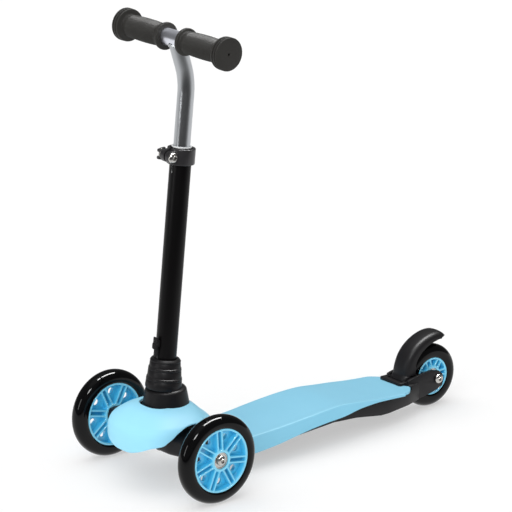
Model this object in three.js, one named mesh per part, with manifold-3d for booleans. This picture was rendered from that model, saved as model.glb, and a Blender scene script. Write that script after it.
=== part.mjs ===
// A child's three-wheeled lean-to-steer scooter, in millimetres, +Z up, front towards -Y.
// The origin lies on the ground, under the middle of the scooter's box.
import * as THREE from "three";
import { mergeVertices } from "three/addons/utils/BufferGeometryUtils.js";
import Module from "manifold-3d";

const wasm = await Module();
wasm.setup();

// Fits and cuts
const fit = 0.3; // gap between two pieces that touch
const overrun = 2; // how far a cut passes the face that it opens
const weld = 0.0005; // points closer than this are one point

// Stance: the front axle line is y = 0 while the scooter is being put together
const stance = {
  track: 232, // between the mid-planes of the front wheels
  wheelbase: 467, // front axle to rear axle
  deckGap: 56, // rear axle to the deck's rear edge
  bayGap: 64, // rear axle to the front of the rear wheel's bay
};

// Wheels: cast tyre on a moulded hub that turns on two ball bearings
const wheel = {
  frontRadius: 60,
  rearRadius: 45,
  tyreWidth: 24,
  crownDepth: 12, // radial depth of the round tread
  hubWidth: 22,
  frontRimRadius: 43.3,
  rearRimRadius: 26.8,
  rimWall: 3,
  coreRadius: 14.5,
  spokeThickness: 2.3,
  spokePitch: 7.3, // between the two blades of a pair
  spokeInset: 1, // blades stand back from the hub's faces
  webThickness: 3,
};
const spokePairs = 7;
// Hole in each field of the web: place and radius as shares of the way from the core to the rim
const webHoleShares = { place: 0.6, radius: 0.23 };
const bearing = { radius: 11, width: 7, inset: 1.5, shoulder: 2 };
const axle = {
  radius: 4,
  headRadius: 6.7,
  headHeight: 4,
  socketRadius: 2.6,
  socketDepth: 2.4,
  sleeveWall: 1.8,
  nutRadius: 7.5,
  nutHeight: 7,
};
// Dome of a bolt's head, from its edge inwards: radius and height
const boltHeadShares = [
  [1, 0.35],
  [0.82, 0.8],
  [0.5, 1],
];

// Steering truck: one moulded beam that turns on an inclined kingpin
const truck = {
  pivotY: 2,
  pivotZ: 60,
  kingpinLean: THREE.MathUtils.degToRad(35), // top leans forwards
  beamDepth: 42,
  beamBottom: 46,
  beamTop: 76,
  endDepth: 24,
  endHeight: 24,
  spacerThickness: 3,
  spacerRadius: 7.5,
  hubRadius: 19,
  hubHeight: 22, // along the kingpin
  kingpinRadius: 5,
  bushingRadius: 14,
  bushingHeight: 6,
  washerRadius: 14,
  washerThickness: 1.2,
  boltHeadRadius: 9,
  boltHeadHeight: 6,
  nutHeight: 6,
  seatThickness: 10, // the chassis plate that holds the kingpin
  nutInset: 24, // axle nuts, inwards from the beam's ends
};

// Each row: reach along the beam and how far it swells from its end size to its middle size
const beamStationShares = [
  [1, 0],
  [0.84, 0.05],
  [0.62, 0.3],
  [0.36, 1],
];
const truckSquareness = 5;

// Deck: moulded top with side flanges, screwed to the frame below
const deck = {
  front: 70,
  rear: stance.wheelbase - stance.deckGap,
  halfWidth: 50,
  flangeReach: 57,
  crest: 56,
  thickness: 3,
  crown: 1,
  cornerRadius: 24,
  scoopHalfWidth: 19,
  scoopDepth: 8,
  edgeRound: 1.5,
  bossRadius: 4.5,
  bossLength: 9,
};
// Each row: place along the deck, ridge height, ridge half-width, flange reach, flange foot height
const deckStationShares = [
  [0, 0.791, 0.93, 0.93, 0.43],
  [0.117, 0.809, 0.94, 0.96, 0.42],
  [0.235, 0.848, 0.966, 0.985, 0.42],
  [0.323, 0.895, 0.99, 0.99, 0.475],
  [0.411, 0.941, 0.996, 0.99, 0.6],
  [0.499, 0.979, 0.984, 0.975, 0.672],
  [0.587, 0.996, 0.954, 0.95, 0.727],
  [0.675, 0.946, 0.942, 0.91, 0.795],
  [0.762, 0.895, 0.942, 0.868, 0.81],
  [0.821, 0.861, 0.912, 0.83, 0.79],
  [0.91, 0.825, 0.885, 0.8, 0.757],
  [1, 0.8, 0.87, 0.785, 0.73],
];

// Pull of the curves round the deck's rear corners, as shares of the corner's radius
const cornerShares = { lobe: 0.3, draw: 0.05, rise: 0.4, tip: 0.1 };
const dipShare = 0.4; // flat middle of the scoop

// Frame under the deck
const frame = {
  halfWidth: 42,
  neckHalfWidth: 24,
  noseFront: -34,
  noseTop: 94,
  neckRear: 39,
  shelfTop: 78, // step behind the nose that carries the front cover
  shelfRear: 52,
  roofHeight: 85, // underside over the truck beam
  wallFront: 34, // the neck's face behind the truck beam
  keel: 22,
  skin: 3.5,
  rib: 3,
  forkInner: 19,
  forkThickness: 4.2,
  bayFront: stance.wheelbase - stance.bayGap, // front of the rear wheel's bay
  armRootReach: 28.5, // from the bay's front to where the fork arms are plain plates
  tailHalfWidth: 37.8,
  bayHalfWidth: 33.6,
  chamfer: 7,
  deepChamfer: 14,
  noseSlope: 17.5,
  pocketStart: 12, // from the deck's front edge
  screwX: 27,
};
// Underside of the frame: place along the deck, height over the ground as a share of the keel
const frameBellyShares = [
  [0.05, 1.05],
  [0.12, 1],
  [0.38, 1.2],
  [0.56, 1.4],
  [0.68, 1.3],
  [0.81, 1],
  [0.9, 1.02],
];
const pocketRows = 7;
const pocketColumns = 3;
const screwRows = [1, 5]; // rows of pockets left solid for the deck screws
const screw = { radius: 2.2, headRadius: 4.3, crownRadius: 3, headHeight: 2.6, floor: 4 };

// Fork arms: outline about the rear axle, as shares of the rear wheel's radius
const forkArmShares = [
  [-1.75, -0.1],
  [-1.233, -0.1],
  [-1.23, 0.16],
  [-1.1, 0.2],
  [-0.53, 0.3],
  [-0.26, 0.31],
  [0.0, 0.26],
  [0.17, 0.12],
  [0.22, -0.05],
  [0.16, -0.26],
  [-0.06, -0.35],
  [-0.42, -0.44],
  [-1.15, -0.55],
  [-1.75, -0.5],
];

// Front cover: a glossy hood over the truck
const cover = {
  halfWidth: 71,
  front: -69,
  rear: 86,
  bottom: 46,
  top: 107,
  wall: 2.6,
  rearRise: 0.6,
  postRadius: 4.5,
  postX: 14,
  postY: 46.5,
  postTop: 88,
};
// Each row: height, half-width, reach forwards and reach rearwards of one level of the hood
const coverLevelShares = [
  [0, 0.93, 0.95, 0.99],
  [0.066, 0.95, 0.965, 0.975],
  [0.233, 0.985, 0.99, 0.91],
  [0.414, 1, 1, 0.81],
  [0.574, 0.98, 0.97, 0.7],
  [0.7, 0.91, 0.9, 0.62],
  [0.798, 0.8, 0.8, 0.54],
  [0.893, 0.67, 0.68, 0.475],
  [0.962, 0.53, 0.56, 0.42],
  [1, 0.4, 0.43, 0.36],
];
const coverSquareness = 2.35;
// Edge cut in the hood's sides, nose first: reach and height as shares of its rear reach and its height
const coverArchShares = [
  [-0.85, 0.066],
  [-0.81, 0.075],
  [-0.77, 0.122],
  [-0.71, 0.206],
  [-0.62, 0.308],
  [-0.49, 0.383],
  [-0.43, 0.449],
  [-0.35, 0.533],
  [-0.25, 0.636],
  [-0.06, 0.729],
  [0.16, 0.729],
  [0.34, 0.608],
  [0.46, 0.383],
  [0.55, 0.02],
];

// Column and its socket; s is the distance along the column from the axle's height
const column = {
  lean: THREE.MathUtils.degToRad(5.85),
  footY: -4.2, // where the column's line crosses the height of the front axle
  radius: 14.3,
  wall: 1.5,
  bottom: 46,
  top: 390,
  slitWidth: 2.4,
  slitLength: 32,
  sleeveLength: 56,
  sleeveFlange: 1.6,
  sleeveSeat: 0.6, // the sleeve's flange over the tube's inner edge
};
const socket = { wall: 3.9, top: 92, clearance: 0.4 };
const boot = {
  rimRadius: 19.4,
  rimTop: 107,
  foot: 68,
  stepDepth: 0.9,
};
// Ring steps of the boot: place between foot and rim, radius as a share of the rim's radius
const bootStepShares = [
  [0, 1.27],
  [0.36, 1.16],
  [0.7, 1.06],
];
const collar = {
  topRadius: 27.6,
  bottomRadius: 32.6,
  topZ: 124,
  bottomZ: 94.3,
  wall: 3,
  bevel: 1,
  crownBackset: 4.3,
  footBackset: 7.3,
};

// Quick clamp at the top of the column
const clamp = {
  height: 22,
  wall: 4.3,
  slit: 3,
  earReach: 27.5,
  earThickness: 8,
  earHeight: 16,
  boltOffset: 21.5,
  boltRadius: 2.5,
  headRadius: 7,
  headHeight: 5,
  socketRadius: 2.9,
  socketDepth: 2.6,
  barrelRadius: 3.2,
  barrelHeight: 14,
  forkRadius: 5.2,
  forkThickness: 3.8,
  leverThickness: 3.6,
  leverHeight: 8.5,
  yokeReach: 12.5,
  armRadius: 26, // from the column's line to the arm's inner face, at the barrel
  armPull: 6.8, // how much nearer the arm comes to the ring on its way round
};
const leverStart = THREE.MathUtils.degToRad(228);
const leverSweep = THREE.MathUtils.degToRad(136);

// Height-adjustable T-bar
const bar = {
  radius: 11.1,
  wall: 1.6,
  bendAngle: THREE.MathUtils.degToRad(23.1),
  bendRadius: 45,
  crossHeight: 533,
  crossForward: 22.7,
  crossLength: 208,
  bottom: 262,
};
const grip = {
  inner: 19, // from the middle of the bar to the grip's inner end
  reach: 91, // from its inner end to its cap
  neckRadius: 14,
  bellyRadius: 15.5,
  innerFlangeRadius: 18.2,
  innerFlangeThickness: 5,
  outerFlangeRadius: 21.8,
  discThickness: 4.6,
  grooveWidth: 3,
  grooveDepth: 4.4,
  swellShare: 0.7,
  ventRadius: 1.6,
};

// Release button and its latch on the front of the column
const release = {
  aboveBoot: 12.5, // from the boot's rim to the cap
  capWidth: 10,
  capLength: 17,
  capThickness: 3.5,
  travel: 2,
  stemWidth: 6.4,
  stemLength: 9,
  stemDepth: 7,
  leafWidth: 5,
  leafThickness: 0.8,
  leafLength: 42,
  ridges: 3,
  ridgeDepth: 0.9,
};
const buttonMiddle = boot.rimTop + release.aboveBoot + release.capLength / 2;

// Brake fender, hinged in front of the rear wheel
const brake = {
  pivotForward: 54, // ahead of the rear axle
  pivotZ: 46,
  barrelRadius: 4.6,
  pinRadius: 2,
  pinCover: 2, // the pin's bore stops this far inside the left arm's face
  halfWidth: 16.4,
  radius: 64.8,
  tailNarrow: 14, // behind the axle, where the tail starts to narrow
  tailHalfWidth: 5,
  skin: 3,
  sideDepth: 20,
  springRadius: 3.4,
  springWire: 0.9,
  springHalfWidth: 5,
  springRoom: 6.4,
};
const fenderStart = THREE.MathUtils.degToRad(168);
const fenderEnd = THREE.MathUtils.degToRad(62);
// Each row: place from the fender's foot to its tail, radius and depth of the sides
const fenderShares = [
  [0, 0.86, 1],
  [0.17, 0.893, 0.85],
  [0.29, 0.921, 0.74],
  [0.55, 0.958, 0.66],
  [0.8, 1, 0.5],
  [0.9, 0.99, 0.42],
  [1, 0.92, 0.25],
];
const brakeTailLip = THREE.MathUtils.degToRad(2);
const brakeFootReach = THREE.MathUtils.degToRad(26); // the channel is open this far below its foot
const springTurns = 4;

// Facets round a full turn, and the steps of an arc
const facets = { fine: 24, middle: 18, coarse: 16, small: 12, hexagon: 6 };
const steps = { crown: 6, bend: 4, fender: 12, corner: 5 };

// Colours and surfaces
const paint = {
  deckBlue: { color: 0x8fd3ec, roughness: 0.55, metalness: 0 },
  hoodBlue: { color: 0x9be0f8, roughness: 0.3, metalness: 0 },
  hubBlue: { color: 0x5cc4f0, roughness: 0.25, metalness: 0 },
  tyreBlack: { color: 0x1b1a1c, roughness: 0.15, metalness: 0 },
  mattBlack: { color: 0x262628, roughness: 0.6, metalness: 0 },
  rubber: { color: 0x1e1e1f, roughness: 0.8, metalness: 0 },
  columnBlack: { color: 0x141416, roughness: 0.25, metalness: 0.1 },
  chrome: { color: 0xb9bcc0, roughness: 0.2, metalness: 1 },
  steel: { color: 0xc4c4c2, roughness: 0.35, metalness: 1 },
  sleeveWhite: { color: 0xe4e6e6, roughness: 0.5, metalness: 0 },
};

// Closed geometry as a solid for joining and cutting, with its faces pointing out
function toSolid(geometry) {
  const bare = new THREE.BufferGeometry();
  const source = geometry.index ? geometry.toNonIndexed() : geometry;
  bare.setAttribute("position", source.getAttribute("position").clone());
  const merged = mergeVertices(bare, weld);
  const corners = merged.index.array;
  const triVerts = [];
  for (let i = 0; i < corners.length; i += 3) {
    const [a, b, c] = [corners[i], corners[i + 1], corners[i + 2]];
    if (a !== b && b !== c && c !== a) triVerts.push(a, b, c);
  }
  const build = (order) =>
    new wasm.Manifold(
      new wasm.Mesh({
        numProp: 3,
        vertProperties: merged.attributes.position.array,
        triVerts: new Uint32Array(order),
      }),
    );
  const solid = build(triVerts);
  return solid.volume() < 0 ? build(triVerts.reverse()) : solid;
}

// Geometry of a solid, ready for a mesh
function toGeometry(solid) {
  const { vertProperties, triVerts, numProp } = solid.getMesh();
  const geometry = new THREE.BufferGeometry();
  geometry.setAttribute("position", new THREE.BufferAttribute(new Float32Array(vertProperties), numProp));
  geometry.setIndex(new THREE.BufferAttribute(new Uint32Array(triVerts), 1));
  geometry.computeVertexNormals();
  return geometry;
}

function combine(operation, first, others) {
  let result = toSolid(first);
  for (const other of others) result = result[operation](toSolid(other));
  return toGeometry(result);
}
const join = (first, ...others) => combine("add", first, others);
const cut = (first, ...others) => combine("subtract", first, others);
const common = (first, ...others) => combine("intersect", first, others);

// Box between two corners
function block([x0, y0, z0], [x1, y1, z1]) {
  const geometry = new THREE.BoxGeometry(x1 - x0, y1 - y0, z1 - z0);
  return geometry.translate((x0 + x1) / 2, (y0 + y1) / 2, (z0 + z1) / 2);
}

// Turns geometry made round Y so that it lies round X or Z
function aim(geometry, axis) {
  if (axis === "x") return geometry.rotateZ(-Math.PI / 2);
  if (axis === "z") return geometry.rotateX(Math.PI / 2);
  return geometry;
}

// Rod between two places on an axis
function rod(radius, from, to, axis, segments = facets.coarse) {
  const geometry = new THREE.CylinderGeometry(radius, radius, to - from, segments);
  return aim(geometry.translate(0, (from + to) / 2, 0), axis);
}

// Ring turned from a closed profile of [radius, place along the axis]
function ring(profile, axis, segments = facets.middle) {
  const points = [...profile, profile[0]].map(([radius, along]) => new THREE.Vector2(radius, along));
  return aim(new THREE.LatheGeometry(points, segments), axis);
}

// Plain tube or washer
function tube(inner, outer, from, to, axis, segments = facets.coarse) {
  return ring([[inner, from], [outer, from], [outer, to], [inner, to]], axis, segments);
}

// Outline in (y, z), extruded along x between two places
function slabAcross(points, from, to) {
  const shape = new THREE.Shape(points.map(([y, z]) => new THREE.Vector2(y, z)));
  const geometry = new THREE.ExtrudeGeometry(shape, { depth: to - from, bevelEnabled: false });
  geometry.applyMatrix4(new THREE.Matrix4().makeBasis(
    new THREE.Vector3(0, 1, 0),
    new THREE.Vector3(0, 0, 1),
    new THREE.Vector3(1, 0, 0),
  ));
  return geometry.translate(from, 0, 0);
}

// Shape in (x, y), extruded upwards between two heights
function slabUp(shape, from, to) {
  const geometry = new THREE.ExtrudeGeometry(shape, { depth: to - from, bevelEnabled: false });
  return geometry.translate(0, 0, from);
}

// Skin through rings with equal numbers of points, with a flat cap at each end
function loft(rings) {
  const count = rings[0].length;
  const points = rings.flat();
  const triangles = [];
  for (let level = 0; level + 1 < rings.length; level += 1) {
    for (let i = 0; i < count; i += 1) {
      const a = level * count + i;
      const b = level * count + ((i + 1) % count);
      triangles.push(a, b, b + count, a, b + count, a + count);
    }
  }
  const last = points.length - count;
  for (const [a, b, c] of capTriangles(rings[0])) triangles.push(a, c, b);
  for (const [a, b, c] of capTriangles(rings.at(-1))) triangles.push(last + a, last + b, last + c);
  const geometry = new THREE.BufferGeometry().setFromPoints(points);
  geometry.setIndex(triangles);
  return geometry;
}

// Triangles that fill a flat ring of points
function capTriangles(points) {
  const normal = new THREE.Vector3();
  points.forEach((point, i) => {
    normal.add(point.clone().cross(points[(i + 1) % points.length]));
  });
  normal.normalize();
  const across = points[1].clone().sub(points[0]).normalize();
  const along = normal.clone().cross(across);
  const flat = points.map((point) => new THREE.Vector2(point.dot(across), point.dot(along)));
  return THREE.ShapeUtils.triangulateShape(flat, []);
}

// Points of a rounded box outline: half sizes a and b, squarer as the power rises
function roundedOutline(a, b, power, count) {
  return Array.from({ length: count }, (_, i) => {
    const angle = (i / count) * 2 * Math.PI;
    const bend = (value) => Math.sign(value) * Math.abs(value) ** (2 / power);
    return [a * bend(Math.cos(angle)), b * bend(Math.sin(angle))];
  });
}

function material(finish) {
  return new THREE.MeshStandardMaterial(finish);
}

function addPiece(group, name, geometry, finish) {
  const mesh = new THREE.Mesh(geometry, material(finish));
  mesh.name = name;
  group.add(mesh);
  return mesh;
}

// Height along a table of rows [place, value, ...], joined by straight lines
function valueAt(rows, place, columnIndex) {
  const next = rows.findIndex((row) => row[0] >= place);
  if (next <= 0) return rows[next < 0 ? rows.length - 1 : 0][columnIndex];
  const [low, high] = [rows[next - 1], rows[next]];
  const blend = (place - low[0]) / (high[0] - low[0]);
  return low[columnIndex] + blend * (high[columnIndex] - low[columnIndex]);
}

// Hub: rim, core and pairs of blades, round X
function hubGeometry(rimRadius) {
  const half = wheel.hubWidth / 2;
  const seat = bearing.radius + fit;
  const seatDepth = bearing.inset + bearing.width + fit;
  const rim = tube(rimRadius - wheel.rimWall, rimRadius, -half, half, "x", facets.fine);
  const core = ring(
    [
      [seat, -half], [wheel.coreRadius, -half], [wheel.coreRadius, half], [seat, half],
      [seat, half - seatDepth], [seat - bearing.shoulder, half - seatDepth],
      [seat - bearing.shoulder, seatDepth - half], [seat, seatDepth - half],
    ],
    "x",
    facets.coarse,
  );
  const bladeHalf = half - wheel.spokeInset;
  const from = (wheel.coreRadius + seat) / 2;
  const to = rimRadius - wheel.rimWall / 2;
  const pieces = [];
  for (let pair = 0; pair < spokePairs; pair += 1) {
    const angle = (pair / spokePairs) * 2 * Math.PI;
    for (const side of [-1, 1]) {
      const middle = (side * wheel.spokePitch) / 2;
      const low = middle - wheel.spokeThickness / 2;
      const high = middle + wheel.spokeThickness / 2;
      pieces.push(block([-bladeHalf, from, low], [bladeHalf, to, high]).rotateX(angle));
    }
  }
  const gap = rimRadius - wheel.rimWall - wheel.coreRadius;
  const web = wheel.webThickness / 2;
  const holes = Array.from({ length: spokePairs }, (_, i) =>
    rod(webHoleShares.radius * gap, -web - overrun, web + overrun, "x", facets.small)
      .translate(0, wheel.coreRadius + webHoleShares.place * gap, 0)
      .rotateX(((i + 1 / 2) / spokePairs) * 2 * Math.PI),
  );
  const disc = cut(tube(from, to, -web, web, "x", facets.fine), ...holes);
  return join(rim, core, disc, ...pieces);
}

// Tyre: round tread over two flat sides, round X
function tyreGeometry(radius, rimRadius) {
  const half = wheel.tyreWidth / 2;
  const profile = [[rimRadius + fit, -wheel.hubWidth / 2]];
  for (let i = 0; i <= steps.crown; i += 1) {
    const angle = (i / steps.crown) * Math.PI - Math.PI / 2;
    const lift = radius - wheel.crownDepth + wheel.crownDepth * Math.cos(angle);
    profile.push([lift, half * Math.sin(angle)]);
  }
  profile.push([rimRadius + fit, wheel.hubWidth / 2]);
  return ring(profile, "x", facets.fine);
}

function wheelGroup(place, radius, rimRadius) {
  const group = new THREE.Group();
  const half = wheel.hubWidth / 2;
  addPiece(group, `tyre_${place}`, tyreGeometry(radius, rimRadius), paint.tyreBlack);
  addPiece(group, `hub_${place}`, hubGeometry(rimRadius), paint.hubBlue);
  const bore = axle.radius + fit;
  for (const [side, label] of [[1, "a"], [-1, "b"]]) {
    const face = side * (half - bearing.inset);
    const back = face - side * bearing.width;
    const [from, to] = [Math.min(face, back), Math.max(face, back)];
    const race = tube(bore, bearing.radius, from, to, "x", facets.small);
    addPiece(group, `bearing_${place}_${label}`, race, paint.steel);
  }
  const reach = half - bearing.inset - bearing.width - fit;
  const sleeve = tube(bore, bore + axle.sleeveWall, -reach, reach, "x", facets.small);
  addPiece(group, `sleeve_${place}`, sleeve, paint.steel);
  return group;
}

// Profile of [radius, place along the axis] that starts and ends on the axis
function turned(profile, axis, segments = facets.coarse) {
  const points = profile.map(([radius, along]) => new THREE.Vector2(radius, along));
  return aim(new THREE.LatheGeometry(points, segments), axis);
}

// Button-head bolt with a hexagon socket: seat at 0, head up the axis, shank down it
function boltGeometry(size, shankRadius, shankLength, axis) {
  const { headRadius, headHeight, socketRadius, socketDepth } = size;
  const body = turned(
    [
      [0, -shankLength], [shankRadius, -shankLength], [shankRadius, 0], [headRadius, 0],
      ...boltHeadShares.map(([radius, height]) => [headRadius * radius, headHeight * height]),
      [0, headHeight],
    ],
    axis,
  );
  return cut(body, rod(socketRadius, headHeight - socketDepth, headHeight + overrun, axis, facets.hexagon));
}

// Hexagon nut between two places on an axis
function nutGeometry(radius, bore, from, to, axis) {
  const hexagon = rod(radius, from, to, axis, facets.hexagon);
  return cut(hexagon, rod(bore, from - overrun, to + overrun, axis, facets.small));
}

// Pan-head screw with its head down and its shank up
function screwGeometry(seat, tip) {
  return turned(
    [
      [0, seat - screw.headHeight], [screw.crownRadius, seat - screw.headHeight],
      [screw.headRadius, seat - screw.headHeight / 2], [screw.headRadius, seat],
      [screw.radius, seat], [screw.radius, tip], [0, tip],
    ],
    "z",
    facets.small,
  );
}

// Front wheels, their axle bolts, spacers and the nuts held in the truck beam
const beamEnd = stance.track / 2 - wheel.hubWidth / 2 + bearing.inset - truck.spacerThickness - 2 * fit;
const boltSeat = wheel.hubWidth / 2 - bearing.inset + fit; // from a wheel's mid-plane to its bolt head
const beamNut = { outer: beamEnd - truck.nutInset, inner: beamEnd - truck.nutInset - axle.nutHeight };

function addFrontWheel(group, side, label) {
  const parts = wheelGroup(`front_${label}`, wheel.frontRadius, wheel.frontRimRadius);
  parts.position.set((side * stance.track) / 2, 0, wheel.frontRadius);
  group.add(parts);

  const axleGroup = new THREE.Group();
  axleGroup.position.z = wheel.frontRadius;
  axleGroup.rotation.z = side > 0 ? 0 : Math.PI;
  group.add(axleGroup);
  const seat = stance.track / 2 + boltSeat;
  const bolt = boltGeometry(axle, axle.radius, seat - beamNut.inner, "x").translate(seat, 0, 0);
  addPiece(axleGroup, `front_axle_bolt_${label}`, bolt, paint.steel);
  const nut = nutGeometry(axle.nutRadius, axle.radius + fit, beamNut.inner + fit, beamNut.outer - fit, "x");
  addPiece(axleGroup, `front_axle_nut_${label}`, nut, paint.steel);
  const from = beamEnd + fit;
  const spacer = tube(axle.radius + fit, truck.spacerRadius, from, from + truck.spacerThickness, "x");
  addPiece(axleGroup, `front_spacer_${label}`, spacer, paint.steel);
}

// Stack on the kingpin, measured up the kingpin from the beam's middle
function kingpinStack() {
  const hubTop = truck.hubHeight / 2;
  const upperBushing = hubTop + fit;
  const upperWasher = upperBushing + truck.bushingHeight + fit;
  const seat = upperWasher + truck.washerThickness + fit;
  const nut = seat + truck.seatThickness + fit;
  const lowerBushing = -hubTop - fit;
  const lowerWasher = lowerBushing - truck.bushingHeight - fit;
  const head = lowerWasher - truck.washerThickness - fit;
  const top = nut + truck.nutHeight;
  return { hubTop, upperBushing, upperWasher, seat, nut, top, lowerBushing, lowerWasher, head };
}
const stack = kingpinStack();

function kingpinGroup() {
  const group = new THREE.Group();
  group.position.set(0, truck.pivotY, truck.pivotZ);
  group.rotation.x = truck.kingpinLean;
  return group;
}

// A geometry drawn on the kingpin, moved to where the kingpin stands
function onKingpin(geometry) {
  const place = kingpinGroup();
  place.updateMatrix();
  return geometry.applyMatrix4(place.matrix);
}

const seatReach = truck.hubRadius + frame.skin; // half length of the frame's seat on the kingpin

function beamGeometry() {
  const middle = (truck.beamBottom + truck.beamTop) / 2;
  const height = truck.beamTop - truck.beamBottom;
  const left = beamStationShares.map((row) => [-row[0], row[1]]);
  const right = [...beamStationShares].reverse();
  const rings = [...left, ...right].map(([reach, swell]) => {
    const depth = truck.endDepth + swell * (truck.beamDepth - truck.endDepth);
    const tall = truck.endHeight + swell * (height - truck.endHeight);
    const lift = wheel.frontRadius + swell * (middle - wheel.frontRadius);
    return roundedOutline(depth / 2, tall / 2, truckSquareness, facets.coarse).map(
      ([y, z]) => new THREE.Vector3(reach * beamEnd, y, z + lift),
    );
  });
  const hub = onKingpin(rod(truck.hubRadius, -stack.hubTop, stack.hubTop, "z", facets.middle));
  const clear = Math.hypot(frame.neckHalfWidth, seatReach) + fit;
  const above = onKingpin(rod(clear, stack.hubTop, stack.hubTop + truck.beamDepth, "z", facets.middle));
  const underFoot = -stack.hubTop - truck.beamDepth;
  const underside = rod(truck.hubRadius + fit, underFoot, -stack.hubTop, "z", facets.middle);
  const bore = onKingpin(rod(truck.kingpinRadius + fit, -truck.hubHeight, truck.hubHeight, "z"));
  const cuts = [above, onKingpin(underside), bore];
  const nutSpace = axle.nutRadius + fit;
  for (const side of [-1, 1]) {
    const shank = rod(axle.radius + fit, beamNut.inner - overrun, beamEnd + overrun, "x");
    const pocket = block(
      [beamNut.inner, -nutSpace, -wheel.frontRadius],
      [beamNut.outer, nutSpace, nutSpace],
    );
    for (const tool of [shank, pocket]) {
      cuts.push(tool.rotateZ(side > 0 ? 0 : Math.PI).translate(0, 0, wheel.frontRadius));
    }
  }
  return cut(join(loft(rings), hub), ...cuts);
}

function truckGroup() {
  const group = new THREE.Group();
  addPiece(group, "truck_beam", beamGeometry(), paint.mattBlack);
  addFrontWheel(group, 1, "left");
  addFrontWheel(group, -1, "right");
  return group;
}

// Kingpin, its nut, rubber bushings and washers, all held by the frame
function kingpinParts() {
  const pin = kingpinGroup();
  const bore = truck.kingpinRadius + fit;
  const headFrom = stack.head - truck.boltHeadHeight;
  const head = rod(truck.boltHeadRadius, headFrom, stack.head, "z", facets.hexagon);
  const shank = rod(truck.kingpinRadius, headFrom / 2 + stack.head / 2, stack.top, "z");
  addPiece(pin, "kingpin", join(head, shank), paint.steel);
  const nut = nutGeometry(truck.boltHeadRadius, bore, stack.nut, stack.top - fit, "z");
  addPiece(pin, "kingpin_nut", nut, paint.steel);
  const { washerThickness, washerRadius, bushingHeight, bushingRadius } = truck;
  const layers = [
    ["kingpin_washer_upper", stack.upperWasher, washerThickness, washerRadius, paint.steel],
    ["kingpin_washer_lower", stack.head + fit, washerThickness, washerRadius, paint.steel],
    ["steering_bushing_upper", stack.upperBushing, bushingHeight, bushingRadius, paint.rubber],
    ["steering_bushing_lower", stack.lowerWasher + fit, bushingHeight, bushingRadius, paint.rubber],
  ];
  for (const [name, from, height, radius, finish] of layers) {
    addPiece(pin, name, tube(bore, radius, from, from + height, "z"), finish);
  }
  return pin;
}

// Deck
const deckLength = deck.rear - deck.front;

function deckRow(share) {
  const at = (index) => valueAt(deckStationShares, share, index);
  return {
    y: deck.front + share * deckLength,
    ridge: at(1) * deck.crest,
    half: at(2) * deck.halfWidth,
    reach: at(3) * deck.flangeReach,
    foot: at(4) * deck.crest,
  };
}
const underDeck = (y) => deckRow((y - deck.front) / deckLength).ridge - deck.thickness;
const frameTop = (y) => underDeck(y) - fit;

function deckSection({ y, ridge, half, reach, foot }) {
  const under = ridge - deck.thickness;
  const right = [
    [reach, foot],
    [half + deck.edgeRound, ridge - deck.edgeRound],
    [half, ridge],
    [half / 2, ridge + deck.crown],
  ];
  const left = right.map(([x, z]) => [-x, z]).reverse();
  const inside = [[-reach + deck.thickness, foot], [-half + deck.thickness / 2, under]];
  const back = inside.map(([x, z]) => [-x, z]).reverse();
  const loop = [...right, ...left, ...inside, ...back];
  return loop.map(([x, z]) => new THREE.Vector3(x, y, z));
}

// Plan of the deck: round rear corners and a scoop in front of the fender
function deckPlan() {
  const wide = deck.flangeReach + overrun;
  const corner = deck.rear - deck.cornerRadius;
  const half = valueAt(deckStationShares, 1, 2) * deck.halfWidth + deck.edgeRound;
  const scoop = deck.scoopHalfWidth;
  const lobe = scoop + deck.cornerRadius * cornerShares.lobe;
  const scoopFloor = deck.rear - deck.scoopDepth;
  const curve = (...points) => {
    const [from, pull, draw, to] = points.map(([x, y]) => new THREE.Vector2(x, y));
    return new THREE.CubicBezierCurve(from, pull, draw, to);
  };
  const corners = curve(
    [half, corner],
    [half - deck.cornerRadius * cornerShares.draw, corner + deck.cornerRadius * cornerShares.rise],
    [half - deck.cornerRadius / 2, deck.rear - deck.cornerRadius * cornerShares.tip],
    [lobe, deck.rear],
  );
  const dip = curve(
    [lobe, deck.rear],
    [scoop, deck.rear],
    [scoop, scoopFloor],
    [scoop * dipShare, scoopFloor],
  );
  const halfPlan = [
    [wide, deck.front - overrun],
    [wide, corner - deck.cornerRadius],
    [half + deck.edgeRound, corner - deck.cornerRadius],
    ...corners.getPoints(steps.corner).map((point) => point.toArray()),
    ...dip.getPoints(steps.corner).slice(1).map((point) => point.toArray()),
  ];
  return mirroredPlate(halfPlan, 0, deck.crest * 2);
}

// Plate from the right half of a plan, between two heights
function mirroredPlate(halfPlan, from, to) {
  const left = [...halfPlan].reverse().map(([x, y]) => [-x, y]);
  const shape = new THREE.Shape([...halfPlan, ...left].map(([x, y]) => new THREE.Vector2(x, y)));
  return slabUp(shape, from, to);
}

function pocketEdges() {
  const from = deck.front + frame.pocketStart;
  const to = frame.bayFront - frame.chamfer;
  const pitch = (to - from + frame.rib) / pocketRows;
  return Array.from({ length: pocketRows }, (_, row) => [
    from + row * pitch,
    from + (row + 1) * pitch - frame.rib,
  ]);
}

// Places of the deck screws, in the rows of pockets that stay solid
function screwPlaces() {
  const edges = pocketEdges();
  return screwRows.flatMap((row) => {
    const y = (edges[row][0] + edges[row][1]) / 2;
    return [-1, 1].map((side) => [side * frame.screwX, y]);
  });
}

function deckGeometry() {
  const rows = deckStationShares.map(([share]) => deckSection(deckRow(share)));
  const bosses = screwPlaces().map(([x, y]) => {
    const foot = underDeck(y) - deck.bossLength;
    return rod(deck.bossRadius, foot, underDeck(y) + deck.thickness / 2, "z").translate(x, y, 0);
  });
  const pilots = screwPlaces().map(([x, y]) => {
    const foot = underDeck(y) - deck.bossLength;
    return rod(screw.radius + fit, foot - overrun, underDeck(y), "z", facets.small).translate(x, y, 0);
  });
  return cut(join(common(loft(rows), deckPlan()), ...bosses), ...pilots);
}

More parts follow.
